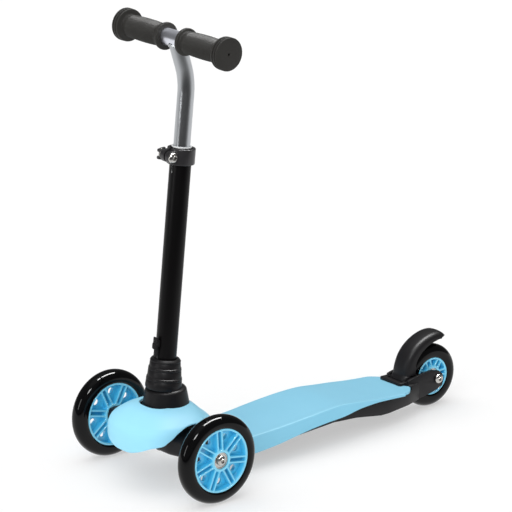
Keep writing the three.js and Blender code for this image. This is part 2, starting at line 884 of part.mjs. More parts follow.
// Frame: neck over the truck, tray under the deck and fork arms, from one moulding
const forkOuter = frame.forkInner + frame.forkThickness;
const armRoot = frame.bayFront + frame.armRootReach;
const shoulderTop = valueAt(deckStationShares, 1, 1) * deck.crest + frame.skin / 2;

function framePlan() {
  return mirroredPlate(
    [
      [frame.neckHalfWidth, frame.noseFront - overrun],
      [frame.neckHalfWidth, frame.wallFront + frame.chamfer],
      [frame.halfWidth, deck.front + frame.halfWidth / 2],
      [frame.halfWidth, frame.bayFront - frame.halfWidth],
      [frame.tailHalfWidth, frame.bayFront - frame.forkInner],
      [frame.bayHalfWidth, frame.bayFront],
      [forkOuter + frame.skin, frame.bayFront + frame.forkInner],
      [forkOuter, armRoot],
      [forkOuter, stance.wheelbase],
    ],
    0,
    frame.noseTop * 2,
  );
}

function frameSide() {
  const cos = Math.cos(truck.kingpinLean);
  const sin = Math.sin(truck.kingpinLean);
  const seatY = truck.pivotY - stack.seat * sin;
  const seatZ = truck.pivotZ + stack.seat * cos;
  const along = (distance) => [seatY + distance * cos, seatZ + distance * sin];
  const belly = frameBellyShares.map(([share, height]) => [
    deck.front + share * deckLength,
    height * frame.keel,
  ]);
  const top = deckStationShares
    .map(([share]) => deck.front + share * deckLength)
    .filter((y) => y > deck.front && y < frame.bayFront)
    .map((y) => [y, frameTop(y)])
    .reverse();
  return slabAcross(
    [
      along(-seatReach),
      along(truck.hubRadius + fit),
      [frame.wallFront - frame.chamfer, frame.roofHeight],
      [frame.wallFront, frame.roofHeight - frame.chamfer],
      [frame.wallFront, frame.keel + frame.deepChamfer],
      [frame.wallFront + frame.deepChamfer, frame.keel + frame.skin / 2],
      ...belly,
      [armRoot, frame.keel],
      [armRoot, shoulderTop],
      [deck.rear + fit, shoulderTop],
      [deck.rear + fit, frameTop(deck.rear)],
      [frame.bayFront, frameTop(deck.rear)],
      ...top,
      [deck.front - fit * 2, frameTop(deck.front)],
      [deck.front - frame.skin, frameTop(deck.front) + frame.chamfer],
      [frame.shelfRear + frame.chamfer, frame.shelfTop - frame.deepChamfer],
      [frame.shelfRear, frame.shelfTop],
      [frame.neckRear + frame.skin / 2, frame.shelfTop],
      [frame.neckRear, frame.noseTop],
      [frame.noseFront + frame.deepChamfer, frame.noseTop],
      [frame.noseFront, frame.noseTop - frame.noseSlope],
    ],
    -frame.halfWidth,
    frame.halfWidth,
  );
}

// A geometry drawn on the upright column, moved to where the column stands
function onColumn(geometry) {
  return geometry.rotateX(-column.lean).translate(0, column.footY, wheel.frontRadius);
}

const leafTop = buttonMiddle - release.stemLength / 2 - 2 * fit;
const leafBottom = leafTop - release.leafLength;

// Slot that the latch leaf slides in, from the leaf's foot upwards
function keyway(outer) {
  const half = release.leafWidth / 2 + fit;
  return block([-half, -outer, leafBottom - fit], [half, 0, boot.rimTop + overrun]);
}

function frameGeometry() {
  const towerRadius = column.radius + socket.wall;
  const towerFoot = frame.roofHeight + frame.skin - wheel.frontRadius;
  const tower = onColumn(rod(towerRadius, towerFoot, socket.top, "z", facets.middle));
  const socketRadius = column.radius + socket.clearance;
  const socketBore = rod(socketRadius, column.bottom - fit, socket.top + overrun, "z", facets.middle);
  const accessRadius = truck.boltHeadRadius + frame.rib / 2;
  const nutAccess = rod(accessRadius, stack.nut - fit, stack.nut + frame.noseTop / 2, "z");
  const arms = [-1, 1].map((side) => {
    const outline = forkArmShares.map(([reach, lift]) => [
      stance.wheelbase + reach * wheel.rearRadius,
      (1 + lift) * wheel.rearRadius,
    ]);
    const faces = [side * frame.forkInner, side * forkOuter].sort((a, b) => a - b);
    return slabAcross(outline, ...faces);
  });
  const bay = block(
    [-frame.forkInner, frame.bayFront, 0],
    [frame.forkInner, stance.wheelbase + wheel.rearRadius, frame.noseTop],
  );
  const rearBore = rod(axle.radius + fit, -frame.halfWidth, frame.halfWidth, "x");
  const pinEnd = forkOuter - brake.pinCover;
  const pinBore = rod(brake.pinRadius + fit, -frame.halfWidth, pinEnd, "x", facets.small);
  return cut(
    join(common(frameSide(), framePlan()), tower, ...arms),
    onColumn(socketBore),
    onColumn(keyway(towerRadius + overrun)),
    onKingpin(rod(truck.kingpinRadius + fit, 0, stack.top + overrun, "z")),
    onKingpin(nutAccess),
    bay,
    rearBore.translate(0, stance.wheelbase, wheel.rearRadius),
    pinBore.translate(0, brakePivotY, brake.pivotZ),
    ...pocketCuts(),
    ...neckCuts(),
    ...screwCuts(),
  );
}

// Ribbed underside: three pockets a row, left solid where the deck screws pass
function pocketCuts() {
  const cell = (2 * frame.halfWidth - (pocketColumns + 1) * frame.rib) / pocketColumns;
  return pocketEdges().flatMap(([from, to], row) => {
    const top = Math.min(frameTop(from), frameTop(to)) - frame.skin;
    const narrow = from < deck.front + frame.halfWidth / 2 || to > frame.bayFront - frame.halfWidth / 2;
    const places = screwRows.includes(row) || narrow ? [0] : [-1, 0, 1];
    return places.map((place) => {
      const middle = place * (cell + frame.rib);
      return block([middle - cell / 2, from, 0], [middle + cell / 2, to, top]);
    });
  });
}

// Hollow neck behind the truck, with a rib down its middle, and the holes for the cover's screws
function neckCuts() {
  const reach = frame.neckHalfWidth - frame.skin;
  return [-1, 1].flatMap((side) => {
    const near = (side * frame.rib) / 2;
    const far = side * reach;
    const hollow = block(
      [Math.min(near, far), frame.wallFront + frame.skin, 0],
      [Math.max(near, far), frame.shelfRear + frame.chamfer, frame.shelfTop - screw.floor],
    );
    const hole = rod(screw.radius + fit, frame.shelfTop / 2, frame.shelfTop + overrun, "z", facets.small);
    return [hollow, hole.translate(side * cover.postX, cover.postY, 0)];
  });
}

function screwCuts() {
  return screwPlaces().flatMap(([x, y]) => {
    const floor = underDeck(y) - deck.bossLength - fit;
    return [
      rod(deck.bossRadius + fit, floor, underDeck(y) + overrun, "z"),
      rod(screw.radius + fit, 0, underDeck(y), "z", facets.small),
      rod(screw.headRadius + fit, 0, floor - screw.floor, "z"),
    ].map((tool) => tool.translate(x, y, 0));
  });
}

// Front cover
function coverRings(inset, low, high) {
  return coverLevelShares.map(([height, width, front, rear], index) => {
    const lift = cover.bottom + height * (cover.top - cover.bottom);
    const drop = index === 0 ? low : 0;
    const cap = index === coverLevelShares.length - 1 ? high : 0;
    return roundedOutline(1, 1, coverSquareness, facets.fine).map(([x, y]) => new THREE.Vector3(
      x * (width * cover.halfWidth - inset),
      y * ((y < 0 ? -front * cover.front : rear * cover.rear) - inset),
      lift - drop - cap,
    ));
  });
}

function coverGeometry() {
  const shell = cut(loft(coverRings(0, 0, 0)), loft(coverRings(cover.wall, overrun, cover.wall)));
  const arch = coverArchShares.map(([reach, height]) => [
    reach * cover.rear,
    cover.bottom + height * (cover.top - cover.bottom),
  ]);
  const below = cover.bottom - overrun;
  const side = cover.halfWidth + overrun;
  const archOutline = [[arch[0][0], below], [arch.at(-1)[0], below], ...[...arch].reverse()];
  const archCut = slabAcross(archOutline, -side, side);
  const rearCut = block(
    [-side, arch.at(-1)[0] - overrun, below],
    [side, cover.rear + overrun, cover.bottom + cover.rearRise],
  );
  const opening = rod(collar.bottomRadius + 2 * fit, cover.bottom, cover.top + overrun, "z", facets.fine);
  const posts = [-1, 1].map((mirror) =>
    rod(cover.postRadius, frame.shelfTop + fit, cover.postTop, "z")
      .translate(mirror * cover.postX, cover.postY, 0),
  );
  const pilots = [-1, 1].map((mirror) =>
    rod(screw.radius + fit, frame.shelfTop, cover.postTop - cover.wall, "z", facets.small)
      .translate(mirror * cover.postX, cover.postY, 0),
  );
  const hood = cut(shell, archCut, rearCut, opening.translate(0, collarMiddle(collar.bottomZ), 0));
  return cut(join(hood, ...posts), ...pilots);
}

// Middle of the collar at a height over the ground: a little behind the column
function collarMiddle(z) {
  const share = (z - collar.bottomZ) / (collar.topZ - collar.bottomZ);
  const backset = collar.footBackset + share * (collar.crownBackset - collar.footBackset);
  return column.footY + (z - wheel.frontRadius) * Math.tan(column.lean) + backset;
}

// Collar: a short cone between the boot and the cover
function collarGeometry() {
  const level = (z, inset) => {
    const share = (z - collar.bottomZ) / (collar.topZ - collar.bottomZ);
    const radius = collar.bottomRadius + share * (collar.topRadius - collar.bottomRadius) - inset;
    return roundedOutline(radius, radius, 2, facets.fine).map(
      ([x, y]) => new THREE.Vector3(x, y + collarMiddle(z), z),
    );
  };
  const outer = loft([
    level(collar.bottomZ, 0),
    level(collar.topZ - collar.bevel, 0),
    level(collar.topZ, collar.bevel),
  ]);
  const inner = loft([
    level(collar.bottomZ - overrun, collar.wall),
    level(collar.topZ - collar.wall, collar.wall),
  ]);
  const hole = onColumn(rod(column.radius + socket.wall + fit, 0, boot.rimTop, "z", facets.middle));
  return cut(outer, inner, hole);
}

// Boot: stepped sleeve over the socket
function bootGeometry() {
  const length = boot.rimTop - boot.foot;
  const bore = column.radius + socket.wall + fit;
  const rimBore = column.radius + socket.clearance;
  const steps = bootStepShares.map(([place, share]) => [share * boot.rimRadius, boot.foot + place * length]);
  const profile = [[bore, boot.foot]];
  steps.forEach(([radius, along], index) => {
    if (index > 0) profile.push([radius + boot.stepDepth, along]);
    profile.push([radius, along]);
  });
  profile.push([boot.rimRadius, boot.rimTop], [rimBore, boot.rimTop]);
  profile.push([rimBore, socket.top + fit], [bore, socket.top + fit]);
  const slotDepth = column.radius + release.leafThickness + 3 * fit;
  return cut(ring(profile, "z"), keyway(slotDepth));
}

// Column, clamp, button and T-bar are drawn upright on their own line
function columnGeometry() {
  const inner = column.radius - column.wall;
  const barrel = tube(inner, column.radius, column.bottom, column.top, "z", facets.fine);
  const slit = block(
    [-column.slitWidth / 2, -column.radius - overrun, column.top - column.slitLength],
    [column.slitWidth / 2, -inner / 2, column.top + overrun],
  );
  const half = release.stemWidth / 2 + fit;
  const reach = release.stemLength / 2 + fit;
  const stemWindow = block(
    [-half, -column.radius - overrun, buttonMiddle - reach],
    [half, -inner / 2, buttonMiddle + reach],
  );
  return cut(barrel, slit, stemWindow);
}

function sleeveGeometry() {
  const bore = bar.radius + fit;
  const outer = column.radius - column.wall - fit;
  const foot = column.top - column.sleeveLength;
  const seat = column.top + fit;
  const cap = seat + column.sleeveFlange;
  const rim = column.radius - column.wall + column.sleeveSeat;
  return ring([[bore, foot], [outer, foot], [outer, seat], [rim, seat], [rim, cap], [bore, cap]], "z");
}

// Clamp: split ring with two ears, a bolt through them and a lever on the bolt's barrel
const earOuter = clamp.slit / 2 + clamp.earThickness;
const barrelOut = earOuter + clamp.forkRadius + fit;

function clampRingGeometry() {
  const half = clamp.height / 2 - fit;
  const ears = block([-earOuter, -clamp.earReach, -clamp.earHeight / 2], [earOuter, 0, clamp.earHeight / 2]);
  const body = join(rod(column.radius + clamp.wall, -half, half, "z", facets.middle), ears);
  const slit = block(
    [-clamp.slit / 2, -clamp.earReach - overrun, -clamp.height],
    [clamp.slit / 2, 0, clamp.height],
  );
  const bore = rod(column.radius + fit, -clamp.height, clamp.height, "z", facets.fine);
  const boltBore = rod(clamp.boltRadius + fit, -clamp.earReach, clamp.earReach, "x", facets.small);
  const headSeat = rod(clamp.headRadius + fit, earOuter, clamp.earReach, "x", facets.middle);
  const cuts = [boltBore, headSeat].map((tool) => tool.translate(0, -clamp.boltOffset, 0));
  return cut(body, bore, slit, ...cuts);
}

function clampGroup() {
  const group = new THREE.Group();
  group.position.z = column.top - clamp.height / 2;
  addPiece(group, "clamp_collar", clampRingGeometry(), paint.mattBlack);

  const seat = earOuter + fit;
  const boltLength = seat + barrelOut - clamp.barrelRadius - fit;
  const bolt = boltGeometry(clamp, clamp.boltRadius, boltLength, "x");
  addPiece(group, "clamp_bolt", bolt.translate(seat, -clamp.boltOffset, 0), paint.steel);

  const pivot = new THREE.Group();
  pivot.position.set(-barrelOut, -clamp.boltOffset, 0);
  group.add(pivot);
  const barrel = rod(clamp.barrelRadius, -clamp.barrelHeight / 2, clamp.barrelHeight / 2, "z");
  addPiece(pivot, "clamp_barrel", barrel, paint.steel);
  addPiece(pivot, "clamp_lever", leverGeometry(), paint.mattBlack);
  return group;
}

// Lever: two fork plates round the barrel, a yoke that joins them and a curved arm round the far side
function leverGeometry() {
  const plateTop = clamp.barrelHeight / 2 - fit;
  const plateFoot = plateTop - clamp.forkThickness;
  const plates = [[plateFoot, plateTop], [-plateTop, -plateFoot]].map(([from, to]) =>
    rod(clamp.forkRadius, from, to, "z", facets.middle),
  );
  const arc = (radius) =>
    Array.from({ length: facets.small }, (_, i) => {
      const angle = leverStart - (i / (facets.small - 1)) * leverSweep;
      const reach = radius - clamp.armPull * Math.sin((leverStart - angle) / 2);
      const [x, y] = [reach * Math.cos(angle), reach * Math.sin(angle)];
      return new THREE.Vector2(x + barrelOut, y + clamp.boltOffset);
    });
  const armShape = (thickness) =>
    new THREE.Shape([...arc(clamp.armRadius + thickness), ...arc(clamp.armRadius).reverse()]);
  const half = clamp.leverHeight / 2;
  const arm = slabUp(armShape(clamp.leverThickness), -half, half);
  const yoke = common(
    slabUp(armShape(clamp.leverThickness), -plateTop, plateTop),
    block([-clamp.yokeReach, 0, -clamp.height], [clamp.yokeReach, clamp.yokeReach, clamp.height]),
  );
  const hole = rod(clamp.barrelRadius + fit, -clamp.height, clamp.height, "z");
  const biteRadius = clamp.barrelRadius + 2 * fit + clamp.boltRadius;
  const bite = rod(biteRadius, -plateFoot, plateFoot, "z", facets.middle);
  return cut(join(...plates, arm, yoke), hole, bite);
}

// Release button with a ridged cap, and the spring leaf of its latch
function addRelease(group) {
  const capFoot = column.radius + release.leafThickness + release.travel + 2 * fit;
  const capTop = capFoot + release.capThickness;
  const { capWidth, capLength } = release;
  const middle = buttonMiddle;
  const cap = block(
    [-capWidth / 2, -capTop, middle - capLength / 2],
    [capWidth / 2, -capFoot, middle + capLength / 2],
  );
  const stem = block(
    [-release.stemWidth / 2, -capFoot - release.capThickness / 2, middle - release.stemLength / 2],
    [release.stemWidth / 2, release.stemDepth - column.radius, middle + release.stemLength / 2],
  );
  const pitch = capLength / (release.ridges + 1);
  const grooves = Array.from({ length: release.ridges }, (_, i) => {
    const z = middle - capLength / 2 + (i + 1) * pitch;
    const half = pitch / 4;
    const floor = release.ridgeDepth - capTop;
    return block([-capWidth, -capTop - overrun, z - half], [capWidth, floor, z + half]);
  });
  addPiece(group, "release_button", cut(join(cap, stem), ...grooves), paint.mattBlack);
  const leaf = block(
    [-release.leafWidth / 2, -column.radius - fit - release.leafThickness, leafBottom],
    [release.leafWidth / 2, -column.radius - fit, leafTop],
  );
  addPiece(group, "latch_leaf", leaf, paint.steel);
}

// Line of the stem: straight, one bend forwards, straight to the middle of the crossbar
class StemLine extends THREE.Curve {
  constructor() {
    super();
    const tangent = bar.bendRadius * Math.tan(bar.bendAngle / 2);
    const vertex = bar.crossHeight - bar.crossForward / Math.tan(bar.bendAngle);
    this.stops = [[0, bar.bottom, 0]];
    for (let i = 0; i <= steps.bend; i += 1) {
      const angle = (i / steps.bend) * bar.bendAngle;
      const forward = bar.bendRadius * (1 - Math.cos(angle));
      this.stops.push([-forward, vertex - tangent + bar.bendRadius * Math.sin(angle), angle]);
    }
    this.stops.push([-bar.crossForward, bar.crossHeight, bar.bendAngle]);
  }

  getPointAt(share) {
    const [y, z] = this.stops[Math.round(share * (this.stops.length - 1))];
    return new THREE.Vector3(0, y, z);
  }

  getTangentAt(share) {
    const angle = this.stops[Math.round(share * (this.stops.length - 1))][2];
    return new THREE.Vector3(0, -Math.sin(angle), Math.cos(angle));
  }
}

function stemGeometry() {
  const line = new StemLine();
  const section = new THREE.Shape().absarc(0, 0, bar.radius, 0, 2 * Math.PI, false);
  section.holes.push(new THREE.Path().absarc(0, 0, bar.radius - bar.wall, 0, 2 * Math.PI, true));
  const geometry = new THREE.ExtrudeGeometry(section, {
    extrudePath: line,
    steps: line.stops.length - 1,
    curveSegments: facets.middle / 2 - 1,
  });
  const cope = rod(bar.radius + fit, -bar.crossLength / 2, bar.crossLength / 2, "x", facets.fine);
  return cut(geometry, cope.translate(0, -bar.crossForward, bar.crossHeight));
}

// Grip: inner flange, barrel body, grooved outer flange and a closed end with a vent
function gripGeometry() {
  const bore = bar.radius + fit;
  const end = grip.inner + grip.reach;
  const body = grip.inner + grip.innerFlangeThickness;
  const outer = end - 2 * grip.discThickness - grip.grooveWidth;
  const { neckRadius: waist, bellyRadius: belly, innerFlangeRadius: flange, outerFlangeRadius: disc } = grip;
  const groove = disc - grip.grooveDepth;
  const middle = (body + outer) / 2;
  const quarter = (outer - body) / 4;
  const swell = waist + (belly - waist) * grip.swellShare;
  const profile = [
    [bore, grip.inner], [flange, grip.inner], [flange, body], [waist, body],
    [swell, middle - quarter], [belly, middle], [swell, middle + quarter], [waist, outer],
    [disc, outer], [disc, outer + grip.discThickness], [groove, outer + grip.discThickness],
    [groove, end - grip.discThickness], [disc, end - grip.discThickness], [disc, end],
    [grip.ventRadius, end], [grip.ventRadius, bar.crossLength / 2 + fit], [bore, bar.crossLength / 2 + fit],
  ];
  return ring(profile, "x");
}

function barGroup() {
  const group = new THREE.Group();
  addPiece(group, "upper_stem", stemGeometry(), paint.chrome);
  const cross = new THREE.Group();
  cross.position.set(0, -bar.crossForward, bar.crossHeight);
  group.add(cross);
  const half = bar.crossLength / 2;
  addPiece(cross, "crossbar", tube(bar.radius - bar.wall, bar.radius, -half, half, "x"), paint.chrome);
  addPiece(cross, "grip_left", gripGeometry(), paint.rubber);
  addPiece(cross, "grip_right", gripGeometry(), paint.rubber).rotation.z = Math.PI;
  return group;
}

function steeringColumn() {
  const group = new THREE.Group();
  group.position.set(0, column.footY, wheel.frontRadius);
  group.rotation.x = -column.lean;
  addPiece(group, "lower_column", columnGeometry(), paint.columnBlack);
  addPiece(group, "height_sleeve", sleeveGeometry(), paint.sleeveWhite);
  addPiece(group, "stem_boot", bootGeometry(), paint.mattBlack);
  group.add(clampGroup(), barGroup());
  addRelease(group);
  return group;
}

// Brake fender: a channel that follows the rear wheel and opens towards its tail
const brakePivotY = stance.wheelbase - brake.pivotForward;

function fenderArc(insetAt, from, to) {
  return Array.from({ length: steps.fender + 1 }, (_, i) => {
    const angle = from + (i / steps.fender) * (to - from);
    const share = Math.min(Math.max((fenderStart - angle) / (fenderStart - fenderEnd), 0), 1);
    const radius = brake.radius * valueAt(fenderShares, share, 1) - insetAt(share);
    return [stance.wheelbase + radius * Math.cos(angle), wheel.rearRadius + radius * Math.sin(angle)];
  });
}

function fenderGeometry() {
  const sideDepth = (share) => brake.sideDepth * valueAt(fenderShares, share, 2);
  const outline = [
    [brakePivotY - brake.barrelRadius, brake.pivotZ],
    ...fenderArc(() => 0, fenderStart, fenderEnd),
    ...fenderArc(sideDepth, fenderStart, fenderEnd).reverse(),
    [brakePivotY + brake.barrelRadius, brake.pivotZ],
  ];
  const body = join(
    slabAcross(outline, -brake.halfWidth, brake.halfWidth),
    rod(brake.barrelRadius, -brake.halfWidth, brake.halfWidth, "x").translate(0, brakePivotY, brake.pivotZ),
  );
  const tail = fenderEnd - brakeTailLip;
  const hollow = [
    [stance.wheelbase, wheel.rearRadius],
    ...fenderArc(() => brake.skin, fenderStart + brakeFootReach, tail),
  ];
  const inner = brake.halfWidth - brake.skin;
  const room = brake.barrelRadius + fit;
  const narrow = stance.wheelbase + brake.tailNarrow;
  const end = stance.wheelbase + wheel.rearRadius;
  const tailCuts = [-1, 1].map((side) => {
    const corners = [[brake.halfWidth, narrow], [brake.halfWidth, end], [brake.tailHalfWidth, end]];
    const shape = new THREE.Shape(corners.map(([x, y]) => new THREE.Vector2(side * x, y)));
    return slabUp(shape, wheel.rearRadius, wheel.rearRadius + 2 * brake.radius);
  });
  return cut(
    body,
    ...tailCuts,
    slabAcross(hollow, -inner, inner),
    rod(brake.pinRadius + fit, -brake.halfWidth - overrun, brake.halfWidth + overrun, "x", facets.small)
      .translate(0, brakePivotY, brake.pivotZ),
    block([-brake.springRoom, -room, -room], [brake.springRoom, room, room])
      .translate(0, brakePivotY, brake.pivotZ),
  );
}

// Torsion spring: close turns round the brake pin
function springGeometry() {
  class Coil extends THREE.Curve {
    getPoint(share) {
      const angle = share * springTurns * 2 * Math.PI;
      const along = (2 * share - 1) * brake.springHalfWidth;
      const radius = brake.springRadius;
      return new THREE.Vector3(along, radius * Math.cos(angle), radius * Math.sin(angle));
    }
  }
  const section = new THREE.Shape().absarc(0, 0, brake.springWire / 2, 0, 2 * Math.PI, false);
  return new THREE.ExtrudeGeometry(section, {
    extrudePath: new Coil(),
    steps: springTurns * (facets.small - 2),
    curveSegments: 2,
  });
}

function rearGroup() {
  const group = new THREE.Group();
  const axleLine = wheelGroup("rear", wheel.rearRadius, wheel.rearRimRadius);
  axleLine.position.set(0, stance.wheelbase, wheel.rearRadius);
  group.add(axleLine);
  const seat = forkOuter + fit;
  const nutEnd = -seat - axle.nutHeight;
  const bolt = boltGeometry(axle, axle.radius, seat - nutEnd, "x").translate(seat, 0, 0);
  addPiece(axleLine, "rear_axle_bolt", bolt, paint.steel);
  const bore = axle.radius + fit;
  addPiece(axleLine, "rear_axle_nut", nutGeometry(axle.nutRadius, bore, nutEnd, -seat, "x"), paint.steel);
  for (const [side, label] of [[1, "left"], [-1, "right"]]) {
    const ends = [side * boltSeat, side * (frame.forkInner - fit)].sort((a, b) => a - b);
    const [from, to] = ends;
    addPiece(axleLine, `rear_spacer_${label}`, tube(bore, truck.spacerRadius, from, to, "x"), paint.steel);
  }

  const hinge = new THREE.Group();
  hinge.position.set(0, brakePivotY, brake.pivotZ);
  group.add(hinge);
  addPiece(group, "brake_fender", fenderGeometry(), paint.mattBlack);
  const pin = rod(brake.pinRadius, -forkOuter, forkOuter - brake.pinCover - fit, "x", facets.small);
  addPiece(hinge, "brake_pin", pin, paint.steel);
  addPiece(hinge, "brake_spring", springGeometry(), paint.steel);
  return group;
}

function bodyGroup() {
  const group = new THREE.Group();
  addPiece(group, "chassis_frame", frameGeometry(), paint.mattBlack);
  addPiece(group, "deck_top", deckGeometry(), paint.deckBlue);
  addPiece(group, "front_cover", coverGeometry(), paint.hoodBlue);
  addPiece(group, "stem_collar", collarGeometry(), paint.mattBlack);
  screwPlaces().forEach(([x, y], index) => {
    const seat = underDeck(y) - deck.bossLength - screw.floor - 2 * fit;
    const tip = underDeck(y) - fit;
    addPiece(group, `deck_screw_${index + 1}`, screwGeometry(seat, tip), paint.steel).position.set(x, y, 0);
  });
  for (const [side, label] of [[1, "left"], [-1, "right"]]) {
    const seat = frame.shelfTop - screw.floor - fit;
    const geometry = screwGeometry(seat, cover.postTop - cover.wall - fit);
    addPiece(group, `cover_screw_${label}`, geometry, paint.steel)
      .position.set(side * cover.postX, cover.postY, 0);
  }
  group.add(kingpinParts());
  return group;
}

function scooterGroup() {
  const scooter = new THREE.Group();
  const parts = new THREE.Group();
  parts.position.y = -(cover.front + stance.wheelbase + wheel.rearRadius) / 2;
  parts.add(truckGroup(), bodyGroup(), steeringColumn(), rearGroup());
  scooter.add(parts);
  return scooter;
}

export default scooterGroup();
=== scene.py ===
"""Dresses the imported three-wheel scooter: meshes, procedural finishes, a plain stage and a camera."""

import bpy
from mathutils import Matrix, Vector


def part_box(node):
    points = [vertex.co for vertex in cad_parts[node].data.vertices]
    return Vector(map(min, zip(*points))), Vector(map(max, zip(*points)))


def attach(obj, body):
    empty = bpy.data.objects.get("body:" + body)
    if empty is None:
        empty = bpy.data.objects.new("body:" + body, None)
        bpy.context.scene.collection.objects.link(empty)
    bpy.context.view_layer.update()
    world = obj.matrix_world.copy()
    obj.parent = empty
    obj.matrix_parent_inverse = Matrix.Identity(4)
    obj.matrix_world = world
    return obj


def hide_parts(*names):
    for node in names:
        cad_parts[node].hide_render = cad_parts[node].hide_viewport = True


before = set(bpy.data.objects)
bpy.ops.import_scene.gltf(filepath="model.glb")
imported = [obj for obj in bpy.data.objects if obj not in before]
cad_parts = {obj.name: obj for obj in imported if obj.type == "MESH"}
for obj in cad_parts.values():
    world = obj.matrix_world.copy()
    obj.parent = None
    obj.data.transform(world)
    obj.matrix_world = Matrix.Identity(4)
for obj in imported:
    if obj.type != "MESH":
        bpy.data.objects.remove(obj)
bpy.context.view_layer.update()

import logging
import math
from collections.abc import Callable, Sequence
from dataclasses import dataclass, field, replace
from enum import Enum

import bmesh
import bpy
import numpy as np
from mathutils import Matrix, Vector

LOG = logging.getLogger("scooter")
MM = 0.001  # metres in a millimetre

Point = tuple[float, float, float]
Flat = tuple[float, float]


class Axis(Enum):
    """Direction that a turned shape lies along."""

    X = "x"
    Z = "z"


class Grain(Enum):
    """How a finish's fine surface pattern runs."""

    EVEN = "even"
    DRAWN_Z = "drawn along the height"
    DRAWN_X = "drawn along the width"


# Places in the part's own frame, in millimetres

def middle_of(node: str) -> Vector:
    """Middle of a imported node's box, in millimetres."""
    low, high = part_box(node)
    return (low + high) / (2 * MM)


FRONT_AXLE = middle_of("hub_front_left")
REAR_AXLE = middle_of("hub_rear")
COLUMN_LEAN = math.radians(5.85)
KINGPIN_LEAN = math.radians(35)
FOOT_Y = -4.2  # where the column's line crosses the height of the front axle
CLAMP_UP = 379.0  # from there up the column to the clamp's middle
ORIGIN: Point = (0.0, 0.0, 0.0)

SIDES = ((1, "left"), (-1, "right"))
DECK_SCREWS = [f"deck_screw_{index}" for index in range(1, 5)]

# Drawing planes: the ground under the front axle, the column, the clamp on it, the kingpin and the rear axle
GROUND = Matrix.Translation((0, FRONT_AXLE.y, 0))
COLUMN = GROUND @ Matrix.Translation((0, FOOT_Y, FRONT_AXLE.z)) @ Matrix.Rotation(-COLUMN_LEAN, 4, "X")
CLAMP = COLUMN @ Matrix.Translation((0, 0, CLAMP_UP))
KINGPIN = GROUND @ Matrix.Translation((0, 2, 60)) @ Matrix.Rotation(KINGPIN_LEAN, 4, "X")
REAR = Matrix.Translation((0, REAR_AXLE.y, REAR_AXLE.z))


def linear(colour: str) -> tuple[float, float, float, float]:
    """Turns an sRGB hex colour into the linear values that a shader takes.

    Args:
        colour: six hex digits after a hash.

    Returns:
        Red, green, blue and alpha.
    """
    parts = [int(colour[i:i + 2], 16) / 255 for i in (1, 3, 5)]
    red, green, blue = (c / 12.92 if c <= 0.04045 else ((c + 0.055) / 1.055) ** 2.4 for c in parts)
    return red, green, blue, 1.0


def node(tree: bpy.types.NodeTree, kind: str, inputs: dict | None = None,
         **settings: object) -> bpy.types.Node:
    """Adds a node with its settings and links.

    Args:
        tree: shader or geometry tree that gets the node.
        kind: Blender's name of the node type.
        inputs: by socket name or number, a value or the output socket that feeds it.
        settings: the node's own properties.

    Returns:
        The node.
    """
    made = tree.nodes.new(kind)
    for key, value in settings.items():
        setattr(made, key, value)
    for key, value in (inputs or {}).items():
        if isinstance(value, bpy.types.NodeSocket):
            tree.links.new(value, made.inputs[key])
        else:
            made.inputs[key].default_value = value
    return made


WHITE = linear("#FFFFFF")


# Outlines

def rounded(points: Sequence[Flat], radius: float, closed: bool = True, steps: int = 3) -> list[Flat]:
    """Rounds the corners of an outline.

    Args:
        points: corners in order.
        radius: how far from a corner its round starts; at 0 the corners stay sharp.
        closed: whether the last corner joins the first.
        steps: spans in each round.

    Returns:
        The outline with its rounds.
    """
    if not radius:
        return list(points)
    corners = [np.array(point, float) for point in points]
    result: list[Flat] = []
    for i, corner in enumerate(corners):
        if not closed and i in (0, len(corners) - 1):
            result.append(tuple(corner))
            continue
        back = corners[i - 1] - corner
        ahead = corners[(i + 1) % len(corners)] - corner
        lengths = np.linalg.norm(back), np.linalg.norm(ahead)
        reach = min(radius, lengths[0] / 2.1, lengths[1] / 2.1)
        start = corner + back / lengths[0] * reach
        end = corner + ahead / lengths[1] * reach
        for k in range(steps + 1):
            t = k / steps
            result.append(tuple((1 - t) ** 2 * start + 2 * t * (1 - t) * corner + t * t * end))
    return result


def smooth(points: Sequence[Sequence[float]], spans: int) -> list[tuple[float, ...]]:
    """Draws a smooth line through points.

    Args:
        points: the points that the line passes.
        spans: straight spans between two points.

    Returns:
        The points of the smooth line.
    """
    p = np.array(points, float)
    ends = np.vstack([2 * p[0] - p[1], p, 2 * p[-1] - p[-2]])
    line = []
    for i in range(1, len(ends) - 2):
        a, b, c, d = ends[i - 1:i + 3]
        for k in range(spans):
            t = k / spans
            line.append(tuple(0.5 * (2 * b + (c - a) * t + (2 * a - 5 * b + 4 * c - d) * t * t
                                     + (3 * b - a - 3 * c + d) * t ** 3)))
    return [*line, tuple(p[-1])]


def curve_of(rows: Sequence[Sequence[float]], column: int,
             spans: int = 8) -> Callable[[np.ndarray], np.ndarray]:
    """Smooth function of a table's first column.

    Args:
        rows: table with its first column rising.
        column: the column to give back.
        spans: samples between two rows.

    Returns:
        A function from the first column's value to the wanted column's.
    """
    line = np.array(smooth([(row[0], row[column]) for row in rows], spans))
    return lambda value: np.interp(value, line[:, 0], line[:, 1])


def bezier(a: Flat, b: Flat, c: Flat, d: Flat, steps: int = 12) -> list[Flat]:
    """Points of a cubic curve from a to d, pulled towards b and c."""
    found = []
    for k in range(steps + 1):
        t = k / steps
        weights = (1 - t) ** 3, 3 * t * (1 - t) ** 2, 3 * t * t * (1 - t), t ** 3
        found.append(tuple(sum(w * p[i] for w, p in zip(weights, (a, b, c, d))) for i in (0, 1)))
    return found


